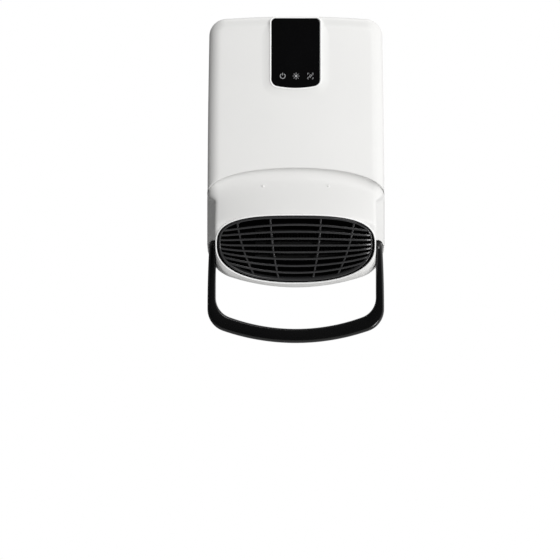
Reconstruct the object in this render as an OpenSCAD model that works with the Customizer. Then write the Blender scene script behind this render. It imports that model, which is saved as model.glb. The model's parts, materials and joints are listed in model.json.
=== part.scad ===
// Bathroom wall fan heater with a swinging rail.
// X runs to the right of someone facing the heater, +Z is up, and the front faces -Y.
// The wall is the plane Y = 0. The origin is the centre of the wall bracket's four holes.
// Heights below are measured from the body's lowest point, and depths from the wall.

/* [Body] */
// Width of the body at its widest
body_w = 240; // [232:1:250]
// Height from the body's lowest point to its top edge
body_h = 364; // [350:1:380]
// How far each side draws in towards the top
top_narrowing = 3.7; // [0:0.1:6]
// Radius of the two top corners, seen from the front
top_corner_r = 23; // [21:1:30]
// Radius of the two bottom corners, seen from the front
bottom_corner_r = 45; // [40:1:50]
// Radius of the crowned top edge
top_arc_r = 1430; // [1000:10:2000]
// Radius of the bowed bottom edge
bottom_arc_r = 288; // [260:1:320]
// Wall of the three plastic shells
wall = 2.5; // [2:0.1:3]
// Depth of the rear housing, from the wall to the joint with the covers
split_depth = 42; // [40:0.5:44]
// Height of the bracket's centre above the body's lowest point
mount_height = 240; // [234:1:250]

/* [Front cover] */
// Depth of the front at the top edge
front_depth_top = 80; // [76:1:86]
// Depth of the front at the middle of the arch
front_depth_arch = 96; // [92:1:100]
// How far the front falls back at the sides
front_crown = 4; // [1:0.5:6]
// Rounding of the cover's front edges
edge_round = 14; // [11:1:16]
// Height of the arch's crown
arch_h = 159; // [155:1:163]
// How far the arch drops to its ends
arch_drop = 38.5; // [34:0.5:42]
// Roundness of the arch: 2 is an ellipse
arch_power = 2.2; // [2:0.1:2.6]
// How far the lower cover lies behind the front cover at the arch
arch_recess = 3.4; // [3:0.1:4]

/* [Lower cover] */
// Depth of the body at the top of the outlet
nose_depth = 120; // [117:1:124]
// How far the lower cover's sides lean in
nose_draft = 10.5; // [8:0.5:12]
// Fillet between the lower cover's sides and its front
nose_fillet = 5; // [4:0.5:6]
// Rounding under the outlet
lip_round = 9; // [7:0.5:10]
// Height of the crease above the outlet
brow_h = 96; // [94:0.5:98]
// Fall of the lower cover's front towards its sides
nose_crown = 6; // [4:0.5:8]
// Softness of the crease above the outlet
brow_soft = 5; // [3:0.5:8]
// How far the lower cover runs up behind the front cover
lap = 9; // [6:1:11]
// Distance of each small plug from the middle
plug_x = 43.5; // [38:0.5:50]
// Height of the small plugs
plug_h = 135; // [130:1:138]
// Radius of a plug's head
plug_r = 2.3; // [2:0.1:3]

/* [Outlet grille] */
// Width of the grille
grille_w = 208; // [200:1:208]
// Height of the grille's widest row
grille_mid_h = 55; // [54:0.5:57]
// Rise from the widest row to the top, along the grille
grille_rise = 43.4; // [40:0.2:44]
// Fall from the widest row to the bottom, along the grille
grille_fall = 51.9; // [49:0.1:52]
// Roundness of the grille's upper half: 2 is an ellipse
grille_top_power = 3; // [2.4:0.1:3.2]
// Roundness of the grille's lower half
grille_low_power = 2.3; // [2.1:0.1:2.5]
// Lean of the grille away from upright
grille_tilt = 23.7; // [21:0.1:25]
// Width of the grille's rim
grille_rim = 5; // [4:0.2:6]
// Depth of the grille's rim
grille_t = 8; // [7:0.5:9]
// Number of slats
slat_count = 8; // [6:1:9]
// Distance between slats in the middle
slat_pitch = 9.9; // [9:0.1:10]
// Height of a slat's edge
slat_t = 2.8; // [2:0.1:3.2]
// Width of the white bead round the grille
bead_w = 2.4; // [1.8:0.1:2.8]
// How far the bead stands out of the grille's plane
bead_out = 1.4; // [1:0.1:2]

/* [Display] */
// Width of the display window
window_w = 65; // [60:1:70]
// Height of the window's lowest point
window_low_h = 265.8; // [262:0.2:270]
// Gap from the window's top to the top of the body
window_top_gap = 4.6; // [4.4:0.1:8]
// Margin of white bezel round the window
bezel_margin = 2.3; // [1.8:0.1:3]
// How far the bezel stands out of the cover
bezel_out = 2.2; // [1.8:0.1:3]
// Thickness of the window
window_t = 2; // [1.6:0.1:2.4]
// Distance between touch marks
mark_pitch = 18.5; // [15:0.5:21]
// Height of the touch marks above the window's lower end
mark_up = 15.9; // [14.2:0.1:19.2]

/* [Rail] */
// Thickness of the rail's arms, seen from the front
arm_w = 11; // [9:0.5:12]
// Radius of the arm's eye, which is half the arm's depth
eye_r = 12; // [11:0.5:12]
// Height of the rail's pivot
pivot_h = 50.5; // [49:0.5:52]
// Depth of the rail's pivot
pivot_depth = 58; // [56:0.5:60]
// Distance from the pivot down to the rail's lowest point
rail_drop = 125.5; // [118:0.5:140]
// Height of the rail's bar in the middle
bar_h = 19; // [16:0.5:22]
// Depth of the rail's bar
bar_depth = 16; // [14:0.5:20]
// Outer radius of the rail's corners
rail_corner_r = 31; // [26:1:36]
// Inner radius of the rail's corners
rail_inner_r = 28; // [22:1:30]
// Radius of the bar's lower edge
bar_arc_r = 301; // [270:1:340]
// Radius of the bar's upper edge
bar_top_arc_r = 262; // [240:1:300]
// Radius of the pivot bolt's shoulder
pivot_r = 4; // [3.5:0.1:4.5]

/* [Fan and heater] */
// Depth of the impeller's rearmost point
fan_rear = 20; // [19:0.5:22]
// Gap between the impeller and the heater's frame
fan_gap = 1.5; // [1.2:0.1:3]
// Gap between the impeller's ends and the air guide's plates
fan_end_gap = 2.25; // [1.5:0.25:4]
// Number of blades in each half of the impeller
blade_count = 26; // [16:1:32]
// Height of the fan's axis
fan_h = 75; // [74:0.5:77]
// Radius of the fan's shaft
shaft_r = 2.5; // [2:0.1:3]
// Room for the motor, from the body's left side to the air guide
motor_bay = 59.5; // [59:0.5:62]
// Distance from the body's right side to the air guide
fan_bay = 30; // [29.5:0.5:34]
// Gap between the impeller and the air guide behind it
scroll_gap = 7; // [6:0.5:7.5]
// Height of the heater element, along its face
heater_h = 46; // [40:1:47]
// Thickness of the heater element
heater_t = 14; // [12:0.5:15]
// Gap from the grille's plane back to the middle of the heater
heater_back = 20; // [19.5:0.5:21]
// Thickness of the motor's laminations
stack_t = 20; // [16:0.5:21]
// Radius of the motor's rotor
rotor_r = 11.5; // [10:0.5:13]

/* [Back of the body] */
// Width of the wall bracket
bracket_w = 150; // [140:1:160]
// Height of the wall bracket
bracket_h = 84; // [80:1:88]
// Thickness of the wall bracket
bracket_t = 2; // [1.5:0.1:2.4]
// Distance between the bracket's holes, across
hole_pitch_x = 120; // [110:1:126]
// Distance between the bracket's holes, up and down
hole_pitch_z = 60; // [50:1:64]
// Radius of the bracket's holes
hole_r = 2.6; // [2.2:0.1:3]
// Depth of the pocket that the bracket sits in
pocket_depth = 5; // [4.6:0.1:6]
// Distance between the two hooks
hook_pitch = 100; // [80:1:110]
// Distance between the air slots in the sides
slot_pitch = 8; // [7:0.5:10]
// Height of an air slot
slot_t = 3.4; // [2.4:0.1:3.8]
// Radius of the cable grommet's bore
cable_r = 4.2; // [3.5:0.1:5]

/* [Hidden] */

$fn = 48;

// Clearances
fit = 0.3; // between pieces that are put together by hand
snug = 0.15; // between a moulding and the opening that it fills
run = 0.05; // round a pivot or a shaft
seat = 0.2; // between a turning face and its seat

// Colours
white = [0.93, 0.93, 0.91];
black = [0.03, 0.03, 0.03];
dark = [0.16, 0.16, 0.17];
steel = [0.72, 0.73, 0.75];
copper = [0.72, 0.40, 0.20];
board_green = [0.05, 0.32, 0.18];
amber = [0.55, 0.10, 0.06];
cream = [0.82, 0.78, 0.66];
brass = [0.78, 0.62, 0.28];

half_w = body_w / 2;

// ---------------------------------------------------------------- placing

// Heights count from the body's lowest point, and the origin is the bracket's centre.
module lift() translate([0, 0, -mount_height]) children();

// A flat shape drawn in (x, height), from depth d0 to depth d1.
module slab(d0, d1) translate([0, -d0, 0]) rotate([90, 0, 0]) linear_extrude(d1 - d0) children();

// A flat shape drawn in (y, height), from x0 to x1.
module across(x0, x1) translate([x0, 0, 0]) rotate([90, 0, 90]) linear_extrude(x1 - x0) children();

// A round bar along Y at (x, h), from depth d0 to depth d1.
module post(x, h, d0, d1, r) translate([x, -d0, h]) rotate([90, 0, 0]) cylinder(h = d1 - d0, r = r);

// A round bar along X at (depth, h), from x0 to x1.
module axle(depth, h, x0, x1, r) translate([x0, -depth, h]) rotate([0, 90, 0]) cylinder(h = x1 - x0, r = r);

// A box from low to high corner, in (x, depth, height).
module block(x, d, h) translate([x[0], -d[1], h[0]]) cube([x[1] - x[0], d[1] - d[0], h[1] - h[0]]);

module both_sides() {
    children();
    mirror([1, 0, 0]) children();
}

// ---------------------------------------------------------------- outlines

// Points on an arc, each with its outward normal.
function arc(cx, cz, r, a0, a1, n) = [
    for (i = [0:n]) let (a = a0 + (a1 - a0) * i / n)
        [[cx + r * cos(a), cz + r * sin(a)], [cos(a), sin(a)]]
];

// Angle by which a corner of radius r, with its centre at x, leans on an arc of radius arc_r.
function lean(x, r, arc_r) = asin(x / (arc_r - r));

// Right half of a bowed bottom with round corners, from the side round to the lowest point.
function bottom_half(hw, r, arc_r, low, n) = let (
    x = hw - r,
    b = lean(x, r, arc_r),
    cz = low + arc_r - (arc_r - r) * cos(b)
) concat(
    arc(x, cz, r, 0, b - 90, n),
    [for (e = arc(0, low + arc_r, arc_r, b - 90, -90, n)) if (e[1][1] > -1 && e[1][0] < sin(b) - 0.001) e],
    [[[0, low], [0, -1]]]
);

// Height at which a bowed bottom's corner meets the side.
function side_foot(hw, r, arc_r, low) = low + arc_r - (arc_r - r) * cos(lean(hw - r, r, arc_r));

corner_x = half_w - top_narrowing - top_corner_r;
corner_lean = lean(corner_x, top_corner_r, top_arc_r);
corner_z = body_h - top_arc_r + (top_arc_r - top_corner_r) * cos(corner_lean);
foot_z = side_foot(half_w, bottom_corner_r, bottom_arc_r, 0);

function side_x(z) = half_w - top_narrowing * pow(max(0, z - foot_z) / (corner_z - foot_z), 2);
side_lean = atan(2 * top_narrowing / (corner_z - foot_z));

// Right half of the body's outline, from the top round to the lowest point.
function body_half(n) = concat(
    [[[0, body_h], [0, 1]]],
    [for (i = [1:n - 1]) let (a = 90 - corner_lean * i / n)
        [[top_arc_r * cos(a), body_h - top_arc_r + top_arc_r * sin(a)], [cos(a), sin(a)]]],
    arc(corner_x, corner_z, top_corner_r, 90 - corner_lean, side_lean, n),
    [for (i = [1:n - 1]) let (z = corner_z + (foot_z - corner_z) * i / n, a = side_lean * (1 - i / n))
        [[side_x(z), z], [cos(a), sin(a)]]],
    bottom_half(half_w, bottom_corner_r, bottom_arc_r, 0, n)
);

function inset(e, a) = e[0] - a * e[1];

// A half outline, closed by its mirror image.
function close_up(half) = let (m = len(half) - 1) concat(
    half, [for (i = [m - 1:-1:1]) [-half[i][0], half[i][1]]]
);

function body_loop(a, n = 7) = close_up([for (e = body_half(n)) inset(e, a)]);

// Height of the arch's line at x.
function arch_z(x) = arch_h - arch_drop * (1 - pow(max(0, 1 - pow(min(1, abs(x) / half_w), arch_power)), 1 / arch_power));

// Depth of the front cover's face, and of the lower cover's.
front_slope = (front_depth_arch - front_depth_top) / (body_h - arch_h);
front_lean = atan(front_slope);
function front_depth(x, z) = front_depth_top + front_slope * (body_h - z) - front_crown * pow(x / half_w, 2);

function soft_min(a, b, k) = min(a, b) - pow(max(k - abs(a - b), 0), 2) / (4 * k);
function outlet_depth(z) = nose_depth - (brow_h - z) * tan(grille_tilt);
function nose_front(x, z) = let (
    az = arch_z(x),
    start = front_depth(x, max(az, z)) - arch_recess,
    s = max(0, (az - z) / (arch_h - brow_h)),
    reach = nose_depth - front_depth_arch + arch_recess,
    swell = s * s * (2 - min(s, 1.3)) * reach,
    upper = start + swell - (nose_crown - front_crown) * min(1, s) * pow(x / half_w, 2)
) soft_min(upper, outlet_depth(z), brow_soft);

// ---------------------------------------------------------------- shells

// A closed solid through rings of points. Each ring is symmetric about x = 0.
module ringed(rings) {
    n = len(rings[0]);
    m = len(rings);
    last = (m - 1) * n;
    polyhedron(
        points = [for (r = rings) each r],
        faces = concat(
            [for (k = [0:m - 2], i = [0:n - 1]) let (j = (i + 1) % n) [k * n + i, (k + 1) * n + j, k * n + j]],
            [for (k = [0:m - 2], i = [0:n - 1]) let (j = (i + 1) % n) [k * n + i, (k + 1) * n + i, (k + 1) * n + j]],
            [[0, 1, n - 1], [n / 2 - 1, n / 2, n / 2 + 1]],
            [for (i = [1:n / 2 - 2]) [i, i + 1, n - i]],
            [for (i = [1:n / 2 - 2]) [i + 1, n - i - 1, n - i]],
            [[last, last + n - 1, last + 1], [last + n / 2 - 1, last + n / 2 + 1, last + n / 2]],
            [for (i = [1:n / 2 - 2]) [last + i, last + n - i, last + i + 1]],
            [for (i = [1:n / 2 - 2]) [last + i + 1, last + n - i, last + n - i - 1]]
        )
    );
}

// A point drawn towards a short upright line in the middle of a face.
function drawn_in(p, t, low, high) = [p[0] * (1 - t), p[1] + (min(high, max(low, p[1])) - p[1]) * t];

round_steps = [0, 18, 36, 54, 72, 90];
face_steps = [0.3, 0.6, 0.88];

function cover_ring(off, a) = [
    for (p = body_loop(off + (edge_round - off) * (1 - cos(a))))
        [p[0], off + (edge_round - off) * (1 - sin(a)) - front_depth(p[0], p[1]), p[1]]
];
function cover_face_ring(off, t) = [
    for (q = body_loop(edge_round)) let (p = drawn_in(q, t, body_h * 0.45, body_h * 0.6))
        [p[0], off - front_depth(p[0], p[1]), p[1]]
];
function cover_back_ring(off) = [for (p = body_loop(off)) [p[0], -split_depth, p[1]]];
function cover_rings(off) = concat(
    [for (i = [len(face_steps) - 1:-1:0]) cover_face_ring(off, face_steps[i])],
    [for (i = [len(round_steps) - 1:-1:0]) cover_ring(off, round_steps[i])],
    [cover_back_ring(off)]
);

function turned(list) = [for (i = [len(list) - 1:-1:0]) list[i]];

// The arm's recess in the lower cover's side
washer_t = 1;
rail_x = half_w; // outer face of the rail's arms
arm_in_x = rail_x - arm_w;
notch_x = arm_in_x - seat - washer_t;
notch_h = pivot_h + eye_r + 2;
nose_top_h = arch_h + lap + 8;
step_drop = 0.4;

// Right half of the lower cover's outline for the skin that lies off inside the outer one.
function nose_half(off, n) = let (
    step_h = notch_h + off,
    low = bottom_half(half_w, bottom_corner_r, bottom_arc_r, 0, n)
) concat(
    [for (i = [0:4]) [[half_w * i / 4, nose_top_h - off], [i / 4, 0], false]],
    [for (z = nose_rows(step_h)) [[half_w, z], [1, 0], false]],
    [[[half_w, step_h - step_drop], [1, 0], true]],
    [for (e = low) if (e[0][1] < step_h - 1) [e[0], e[1], true]]
);

nose_spine = [brow_h - 8, arch_h - 12];
function nose_rows(step_h) = [
    nose_top_h - 6, nose_top_h - 14,
    for (i = [0:4]) nose_spine[1] + (brow_h + 6 - nose_spine[1]) * i / 4,
    brow_h + 3, brow_h, brow_h - 3, brow_h - 8, (brow_h - 8 + step_h) / 2, step_h
];

function nose_clip(p, off, clipped) = clipped ? [min(p[0], notch_x - off), p[1]] : p;
function nose_draft_at(e) = e[2] ? nose_draft * e[1][0] * e[1][0] : nose_draft;
function nose_round_at(e) = nose_fillet + (lip_round - nose_fillet) * e[1][1] * e[1][1];
function nose_inset(e, off, a) = nose_draft_at(e) + off + (nose_round_at(e) - off) * (1 - cos(a));

function nose_ring(off, a, n = 7) = close_3d([
    for (e = nose_half(off, n)) let (
        p = nose_clip(inset(e, nose_inset(e, off, a)), off, e[2])
    ) [p[0], off + (nose_round_at(e) - off) * (1 - sin(a)) - nose_front(p[0], p[1]), p[1]]
]);
function nose_face_ring(off, t, n = 7) = close_3d([
    for (e = nose_half(off, n)) let (
        q = nose_clip(inset(e, nose_inset(e, off, 90)), off, e[2]),
        p = drawn_in(q, t, nose_spine[0], nose_spine[1])
    ) [p[0], off - nose_front(p[0], p[1]), p[1]]
]);
function nose_side_ring(off, s, n = 7) = close_3d([
    for (e = nose_half(off, n)) let (
        front = nose_front(e[0][0] - nose_draft_at(e), e[0][1]) - nose_round_at(e),
        p = nose_clip(inset(e, off + s * nose_draft_at(e)), off, e[2])
    ) [p[0], -(split_depth + s * (front - split_depth)), p[1]]
]);
function close_3d(half) = let (m = len(half) - 1) concat(
    half, [for (i = [m - 1:-1:1]) [-half[i][0], half[i][1], half[i][2]]]
);
nose_face_steps = [0.07, 0.18, 0.32, 0.47, 0.62, 0.77, 0.91];
nose_round_steps = [0, 30, 60, 90];
function nose_rings(off) = concat(
    [for (i = [len(nose_face_steps) - 1:-1:0]) nose_face_ring(off, nose_face_steps[i])],
    [for (i = [len(nose_round_steps) - 1:-1:0]) nose_ring(off, nose_round_steps[i])],
    [nose_side_ring(off, 0.5), nose_side_ring(off, 0)]
);

// Everything above the arch's line raised by up, from depth d0 to depth d1.
module above_arch(up, d0, d1) {
    top = body_h + 20;
    far = half_w + 10;
    slab(d0, d1) polygon(concat(
        [[far, arch_z(half_w) + up], [far, top], [-far, top], [-far, arch_z(half_w) + up]],
        [for (i = [-24:24]) let (x = half_w * sin(90 * i / 24)) [x, arch_z(x) + up]]
    ));
}

// Everything below the arch's line.
module below_arch() {
    far = half_w + 10;
    slab(split_depth - 5, nose_depth + 20) polygon(concat(
        [[far, arch_z(half_w)], [far, -20], [-far, -20], [-far, arch_z(half_w)]],
        [for (i = [-24:24]) let (x = half_w * sin(90 * i / 24)) [x, arch_z(x)]]
    ));
}

// ---------------------------------------------------------------- case screws

screw_head_r = 3.4;
screw_head_t = 2.4;
screw_r = 1.4;
screw_seat = 30; // depth of the seat that each case screw's head presses on
screw_grip = 12; // how far a case screw reaches into the cover's post
post_r = 5.2;
pillar_r = 3.8;
cover_posts = [[corner_x + 3, corner_z - 6], [half_w - 14, arch_h + 37]];
nose_posts = [[half_w - 8, arch_z(half_w) - 10], [half_w - 21, 30]];
side_pillar = 14; // how far the pillars beside the leaning side walls reach forward

module at_posts(places) both_sides() for (p = places) translate([p[0], 0, p[1]]) children();

module case_screw() {
    post(0, 0, screw_seat - screw_head_t, screw_seat, screw_head_r);
    post(0, 0, screw_seat - 0.01, split_depth + screw_grip, screw_r);
}

module case_screws() color(steel) lift() at_posts(concat(cover_posts, nose_posts)) case_screw();

// ---------------------------------------------------------------- fan and heater places

outlet_mid_depth = outlet_depth(grille_mid_h);
heater_up = [-sin(grille_tilt), cos(grille_tilt)];
heater_in = [cos(grille_tilt), sin(grille_tilt)];
outlet_mid = [-outlet_mid_depth, grille_mid_h];
heater_mid = outlet_mid + heater_back * heater_in - 3 * heater_up;
frame_edge = 4;
frame_half_h = heater_h / 2 + frame_edge;
frame_front = heater_mid - (heater_t / 2 + 1) * heater_in;
mouth_gap = 0.6; // between the air guide's mouth and the heater's frame
frame_back = heater_mid + (heater_t / 2 + 1 + mouth_gap) * heater_in;

// The impeller fills the room between its rearmost point and the heater's frame.
scroll_x = -half_w + motor_bay;
scroll_len = body_w - motor_bay - fan_bay;
fan_len = scroll_len - 2 * fan_end_gap;
fan_room = fan_h * heater_in[1] - frame_back * heater_in - fan_rear * heater_in[0] - fan_gap + mouth_gap;
fan_r = fan_room / (1 + heater_in[0]);
fan_depth = fan_rear + fan_r;
scroll_r = fan_r + scroll_gap;

// ---------------------------------------------------------------- rear housing

pocket_w = bracket_w + 6;
pocket_h = bracket_h + 6;
pocket_mid = mount_height;
hook_w = 14;
hook_h = 30; // height of a hook's seat above the bracket's centre
hook_rise = 9;
slot_low = mount_height - 74;
slot_high = corner_z - 14;
board_x = 10;
board_w = 150;
board_h = 52;
board_mid = 158;
board_depth = 12;
board_t = 1.6;
board_holes = [for (sx = [-1, 1], sz = [-1, 1]) [board_x + sx * (board_w / 2 - 6), board_mid + sz * (board_h / 2 - 6)]];
terminal_x = -(half_w - 29);
terminal_h = 156;
grommet_x = -(half_w - 28);
grommet_h = 184;
grommet_r = cable_r + 3.8;
foot_depth = 8; // depth of the seats of the rail brackets and the air guide
foot_r = 4;
scroll_feet = [for (x = [scroll_x + 8, scroll_x + scroll_len - 8], z = [fan_h + 42, fan_h - 46]) [x, z]];
rail_feet = [for (z = [pivot_h - 8, pivot_h + 8]) [half_w - 21.5, z]];

// Mains switch, in a shallow recess of the right-hand side
switch_h = 128;
switch_len = 20;
switch_across = 13;
switch_depth = 21;
switch_recess = 4;
switch_flange = 1.5;
switch_t = 13;
switch_x = side_x(switch_h) - switch_recess;
rocker_x = switch_x - 1;
rocker_pin_r = 1.2;

module rear_shell() {
    difference() {
        slab(0, split_depth) polygon(body_loop(0));
        slab(wall, split_depth + 1) polygon(body_loop(wall));
    }
}

module side_slots() {
    depth = split_depth - 16;
    far = half_w + 5;
    for (z = [slot_low:slot_pitch:slot_high])
        both_sides() block([half_w - 7.5, far], [9, 9 + depth], [z, z + slot_t]);
}

module top_slots() {
    count = floor((corner_x - 6) / slot_pitch);
    for (i = [-count:count])
        block([i * slot_pitch - slot_t / 2, i * slot_pitch + slot_t / 2], [9, split_depth - 7],
            [body_h - 8, body_h + 5]);
}

module bracket_pocket_walls() {
    low = pocket_mid - pocket_h / 2 - wall;
    high = pocket_mid + pocket_h / 2 + wall;
    block([-pocket_w / 2 - wall, pocket_w / 2 + wall], [wall / 2, pocket_depth + wall], [low, high]);
}

module bracket_pocket() {
    block([-pocket_w / 2, pocket_w / 2], [-1, pocket_depth],
        [pocket_mid - pocket_h / 2, pocket_mid + pocket_h / 2]);
    for (sx = [-1, 1]) {
        x = sx * hook_pitch / 2;
        block([x - hook_w / 2 - 1.5, x + hook_w / 2 + 1.5], [pocket_depth - 1, pocket_depth + wall + 1],
            [pocket_mid + hook_h - hook_rise - 4, pocket_mid + hook_h]);
    }
}

module switch_recess_walls() {
    block([switch_x - wall, side_x(switch_h) - 1],
        [switch_depth - switch_across / 2 - 3 - wall, switch_depth + switch_across / 2 + 3 + wall],
        [switch_h - switch_len / 2 - 4 - wall, switch_h + switch_len / 2 + 4 + wall]);
}

module switch_recess_cut() {
    block([switch_x, half_w + 5],
        [switch_depth - switch_across / 2 - 3, switch_depth + switch_across / 2 + 3],
        [switch_h - switch_len / 2 - 4, switch_h + switch_len / 2 + 4]);
    block([switch_x - wall - 1, switch_x + 1],
        [switch_depth - switch_across / 2 - snug, switch_depth + switch_across / 2 + snug],
        [switch_h - switch_len / 2 - snug, switch_h + switch_len / 2 + snug]);
}

module rear_housing() color(white) lift() difference() {
    union() {
        rear_shell();
        bracket_pocket_walls();
        switch_recess_walls();
        at_posts(concat(cover_posts, nose_posts)) post(0, 0, wall / 2, split_depth, post_r);
        for (p = board_holes) post(p[0], p[1], wall / 2, board_depth, foot_r);
        for (p = scroll_feet) post(p[0], p[1], wall / 2, foot_depth, foot_r);
        both_sides() for (p = rail_feet) post(p[0], p[1], wall / 2, foot_depth, foot_r);
        for (sx = [-1, 1]) post(terminal_x + sx * 14, terminal_h - 14, wall / 2, foot_depth, foot_r);
    }
    bracket_pocket();
    switch_recess_cut();
    side_slots();
    top_slots();
    at_posts(concat(cover_posts, nose_posts)) {
        post(0, 0, -1, screw_seat, screw_head_r + fit);
        post(0, 0, screw_seat - 1, split_depth + 1, screw_r + fit);
    }
    for (p = board_holes) post(p[0], p[1], wall, board_depth + 1, screw_r);
    for (p = scroll_feet) post(p[0], p[1], wall, foot_depth + 1, screw_r);
    both_sides() for (p = rail_feet) post(p[0], p[1], wall, foot_depth + 1, screw_r);
    for (sx = [-1, 1]) post(terminal_x + sx * 14, terminal_h - 14, wall, foot_depth + 1, screw_r);
    post(grommet_x, grommet_h, -1, wall + 1, grommet_r - 1.5);
}

module wall_bracket() color(steel) lift() difference() {
    union() {
        block([-bracket_w / 2, bracket_w / 2], [0, bracket_t],
            [pocket_mid - bracket_h / 2, pocket_mid + bracket_h / 2]);
        for (sx = [-1, 1]) {
            x = sx * hook_pitch / 2;
            reach = pocket_depth + wall + fit + bracket_t;
            block([x - hook_w / 2, x + hook_w / 2], [0, reach],
                [pocket_mid + hook_h - bracket_t, pocket_mid + hook_h]);
            block([x - hook_w / 2, x + hook_w / 2], [reach - bracket_t, reach],
                [pocket_mid + hook_h - bracket_t, pocket_mid + hook_h + hook_rise]);
        }
    }
    for (sx = [-1, 1], sz = [-1, 1])
        post(sx * hole_pitch_x / 2, pocket_mid + sz * hole_pitch_z / 2, -1, bracket_t + 1, hole_r);
}

// ---------------------------------------------------------------- display

panel_top_h = body_h - window_top_gap;
panel_mid_h = (panel_top_h + window_low_h) / 2;
panel_half = (panel_top_h - panel_mid_h) / cos(front_lean);
mark_h = window_low_h + mark_up;
window_top_r = 5.4;
window_low_r = 9.3;
window_arc_r = 126;

// The display's pieces are drawn in the front cover's sloping face.
module on_front() translate([0, -front_depth(0, panel_mid_h), panel_mid_h]) rotate([90 - front_lean, 0, 0]) children();
function up_face(h) = (h - panel_mid_h) / cos(front_lean);

// The window's outline, grown by g all round.
module panel_shape(g) {
    hw = window_w / 2 + g;
    top = up_face(panel_top_h) + g;
    low = bottom_half(hw, window_low_r + g, window_arc_r + g, up_face(window_low_h) - g, 6);
    half = concat(
        [[0, top]],
        [for (e = arc(hw - window_top_r - g, top - window_top_r - g, window_top_r + g, 90, 0, 6)) e[0]],
        [for (e = low) e[0]]
    );
    polygon(close_up(half));
}

bezel_back = 9; // how far the bezel's skirt reaches behind the cover's face
bezel_flange = [wall + 0.5, wall + 2.3];
bezel_land = 7.94; // how far the panel reaches past the bezel's opening at each end
flange_low = 1.06; // how far the flange reaches below the panel
flange_top = 14.94; // how far it ends below the panel's top
module display_bezel() color(white) lift() on_front() difference() {
    union() {
        translate([0, 0, -bezel_back]) linear_extrude(bezel_back + bezel_out) panel_shape(bezel_margin);
        translate([-window_w / 2 - 7, -panel_half - flange_low, -bezel_flange[1]])
            linear_extrude(bezel_flange[1] - bezel_flange[0])
            square([window_w + 14, 2 * panel_half + flange_low - flange_top]);
    }
    translate([0, 0, bezel_out - window_t]) linear_extrude(window_t + 1) panel_shape(snug);
    translate([0, 0, -bezel_back - 3]) linear_extrude(bezel_back + bezel_out + 3) square([window_w - 8, 2 * (panel_half - bezel_land)], center = true);
}

module display_window() color(black) lift() on_front()
    translate([0, 0, bezel_out - window_t]) linear_extrude(window_t - snug) panel_shape(0);

display_board_w = window_w + 4;
board_low_gap = 4.94;
display_board_h = 2 * panel_half - board_low_gap - flange_top;
display_board_back = bezel_back;
display_gap = display_board_back + bezel_out - window_t;
module display_board() color(board_green) lift() on_front()
    translate([-display_board_w / 2, board_low_gap - panel_half, -display_board_back - board_t])
        cube([display_board_w, display_board_h, board_t]);

module digit_display() color(dark) lift() on_front()
    translate([-17, up_face(mark_h) + 22, -display_board_back]) cube([34, 20, display_gap]);

module touch_contacts() color(steel) lift() on_front() for (i = [-1:1])
    translate([i * mark_pitch, up_face(mark_h), -display_board_back]) cylinder(h = display_gap, r = 3.2);

module remote_receiver() color(dark) lift() on_front()
    translate([-3.5, up_face(mark_h) + 11, -display_board_back]) cube([7, 5, display_gap - fit]);

module buzzer() color(dark) lift() on_front()
    translate([16, -20, -display_board_back - board_t - 6]) cylinder(h = 6, r = 6);

// ---------------------------------------------------------------- front cover

module cover_pillar(p, depth) difference() {
    post(p[0], p[1], split_depth, depth, pillar_r);
    post(p[0], p[1], split_depth - 1, split_depth + screw_grip, screw_r);
}

module front_cover() color(white) lift() difference() {
    union() {
        difference() {
            ringed(concat(cover_rings(0), turned(cover_rings(wall))));
            below_arch();
        }
        both_sides() for (p = cover_posts) cover_pillar(p, front_depth(p[0], p[1]) - wall / 2);
    }
    on_front() translate([0, 0, -bezel_back - 10]) linear_extrude(bezel_back + 20) panel_shape(bezel_margin + snug);
}

// ---------------------------------------------------------------- lower cover

grille_a = grille_w / 2;

// The outlet's pieces are drawn in the grille's leaning plane.
module on_outlet() translate([0, -outlet_mid_depth, grille_mid_h]) rotate([90 + grille_tilt, 0, 0]) children();

function oval_y(x, a, b, power) = b * pow(max(0, 1 - pow(min(1, abs(x) / a), power)), 1 / power);

// The grille's outline, grown by g.
module oval(g) {
    a = grille_a + g;
    up = grille_rise + g;
    down = grille_fall + g;
    steps = 20;
    polygon(concat(
        [for (i = [-steps:steps - 1]) let (x = a * sin(90 * i / steps)) [x, oval_y(x, a, up, grille_top_power)]],
        [for (i = [steps:-1:-steps + 1]) let (x = a * sin(90 * i / steps)) [x, -oval_y(x, a, down, grille_low_power)]]
    ));
}

// Up to this depth the side walls of the two covers are flush, so they only butt.
lap_depth = split_depth + (outlet_depth(brow_h) - split_depth) * (wall + 1.5) / nose_draft;
collar_back = grille_t + 4;
ledge_w = 3;
module outlet_collar() on_outlet() difference() {
    translate([0, 0, -collar_back]) linear_extrude(collar_back + bead_out) oval(bead_w);
    translate([0, 0, -grille_t]) linear_extrude(grille_t + bead_out + 1) oval(snug);
    translate([0, 0, -collar_back - 1]) linear_extrude(collar_back + 2) oval(-ledge_w);
}

plug_lean = atan((nose_front(plug_x, plug_h - 2) - nose_front(plug_x, plug_h + 2)) / 4);
module plug_places() both_sides() translate([plug_x, -nose_front(plug_x, plug_h), plug_h])
    rotate([90 - plug_lean, 0, 0]) children();

module lower_cover() color(white) lift() difference() {
    union() {
        difference() {
            ringed(concat(nose_rings(0), turned(nose_rings(wall))));
            above_arch(lap, split_depth - 5, nose_depth + 20);
            above_arch(-snug, split_depth - 5, lap_depth);
            on_outlet() translate([0, 0, -collar_back - 6]) linear_extrude(collar_back + 20) oval(bead_w / 2);
        }
        outlet_collar();
        both_sides() cover_pillar(nose_posts[0], split_depth + side_pillar);
        both_sides() cover_pillar(nose_posts[1], nose_front(nose_posts[1][0], nose_posts[1][1]) - wall / 2);
    }
    axle(pivot_depth, pivot_h, -half_w - 1, half_w + 1, pivot_r + fit);
    plug_places() translate([0, 0, -wall - 3]) cylinder(h = wall + 6, r = plug_r - 0.7);
}

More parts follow.
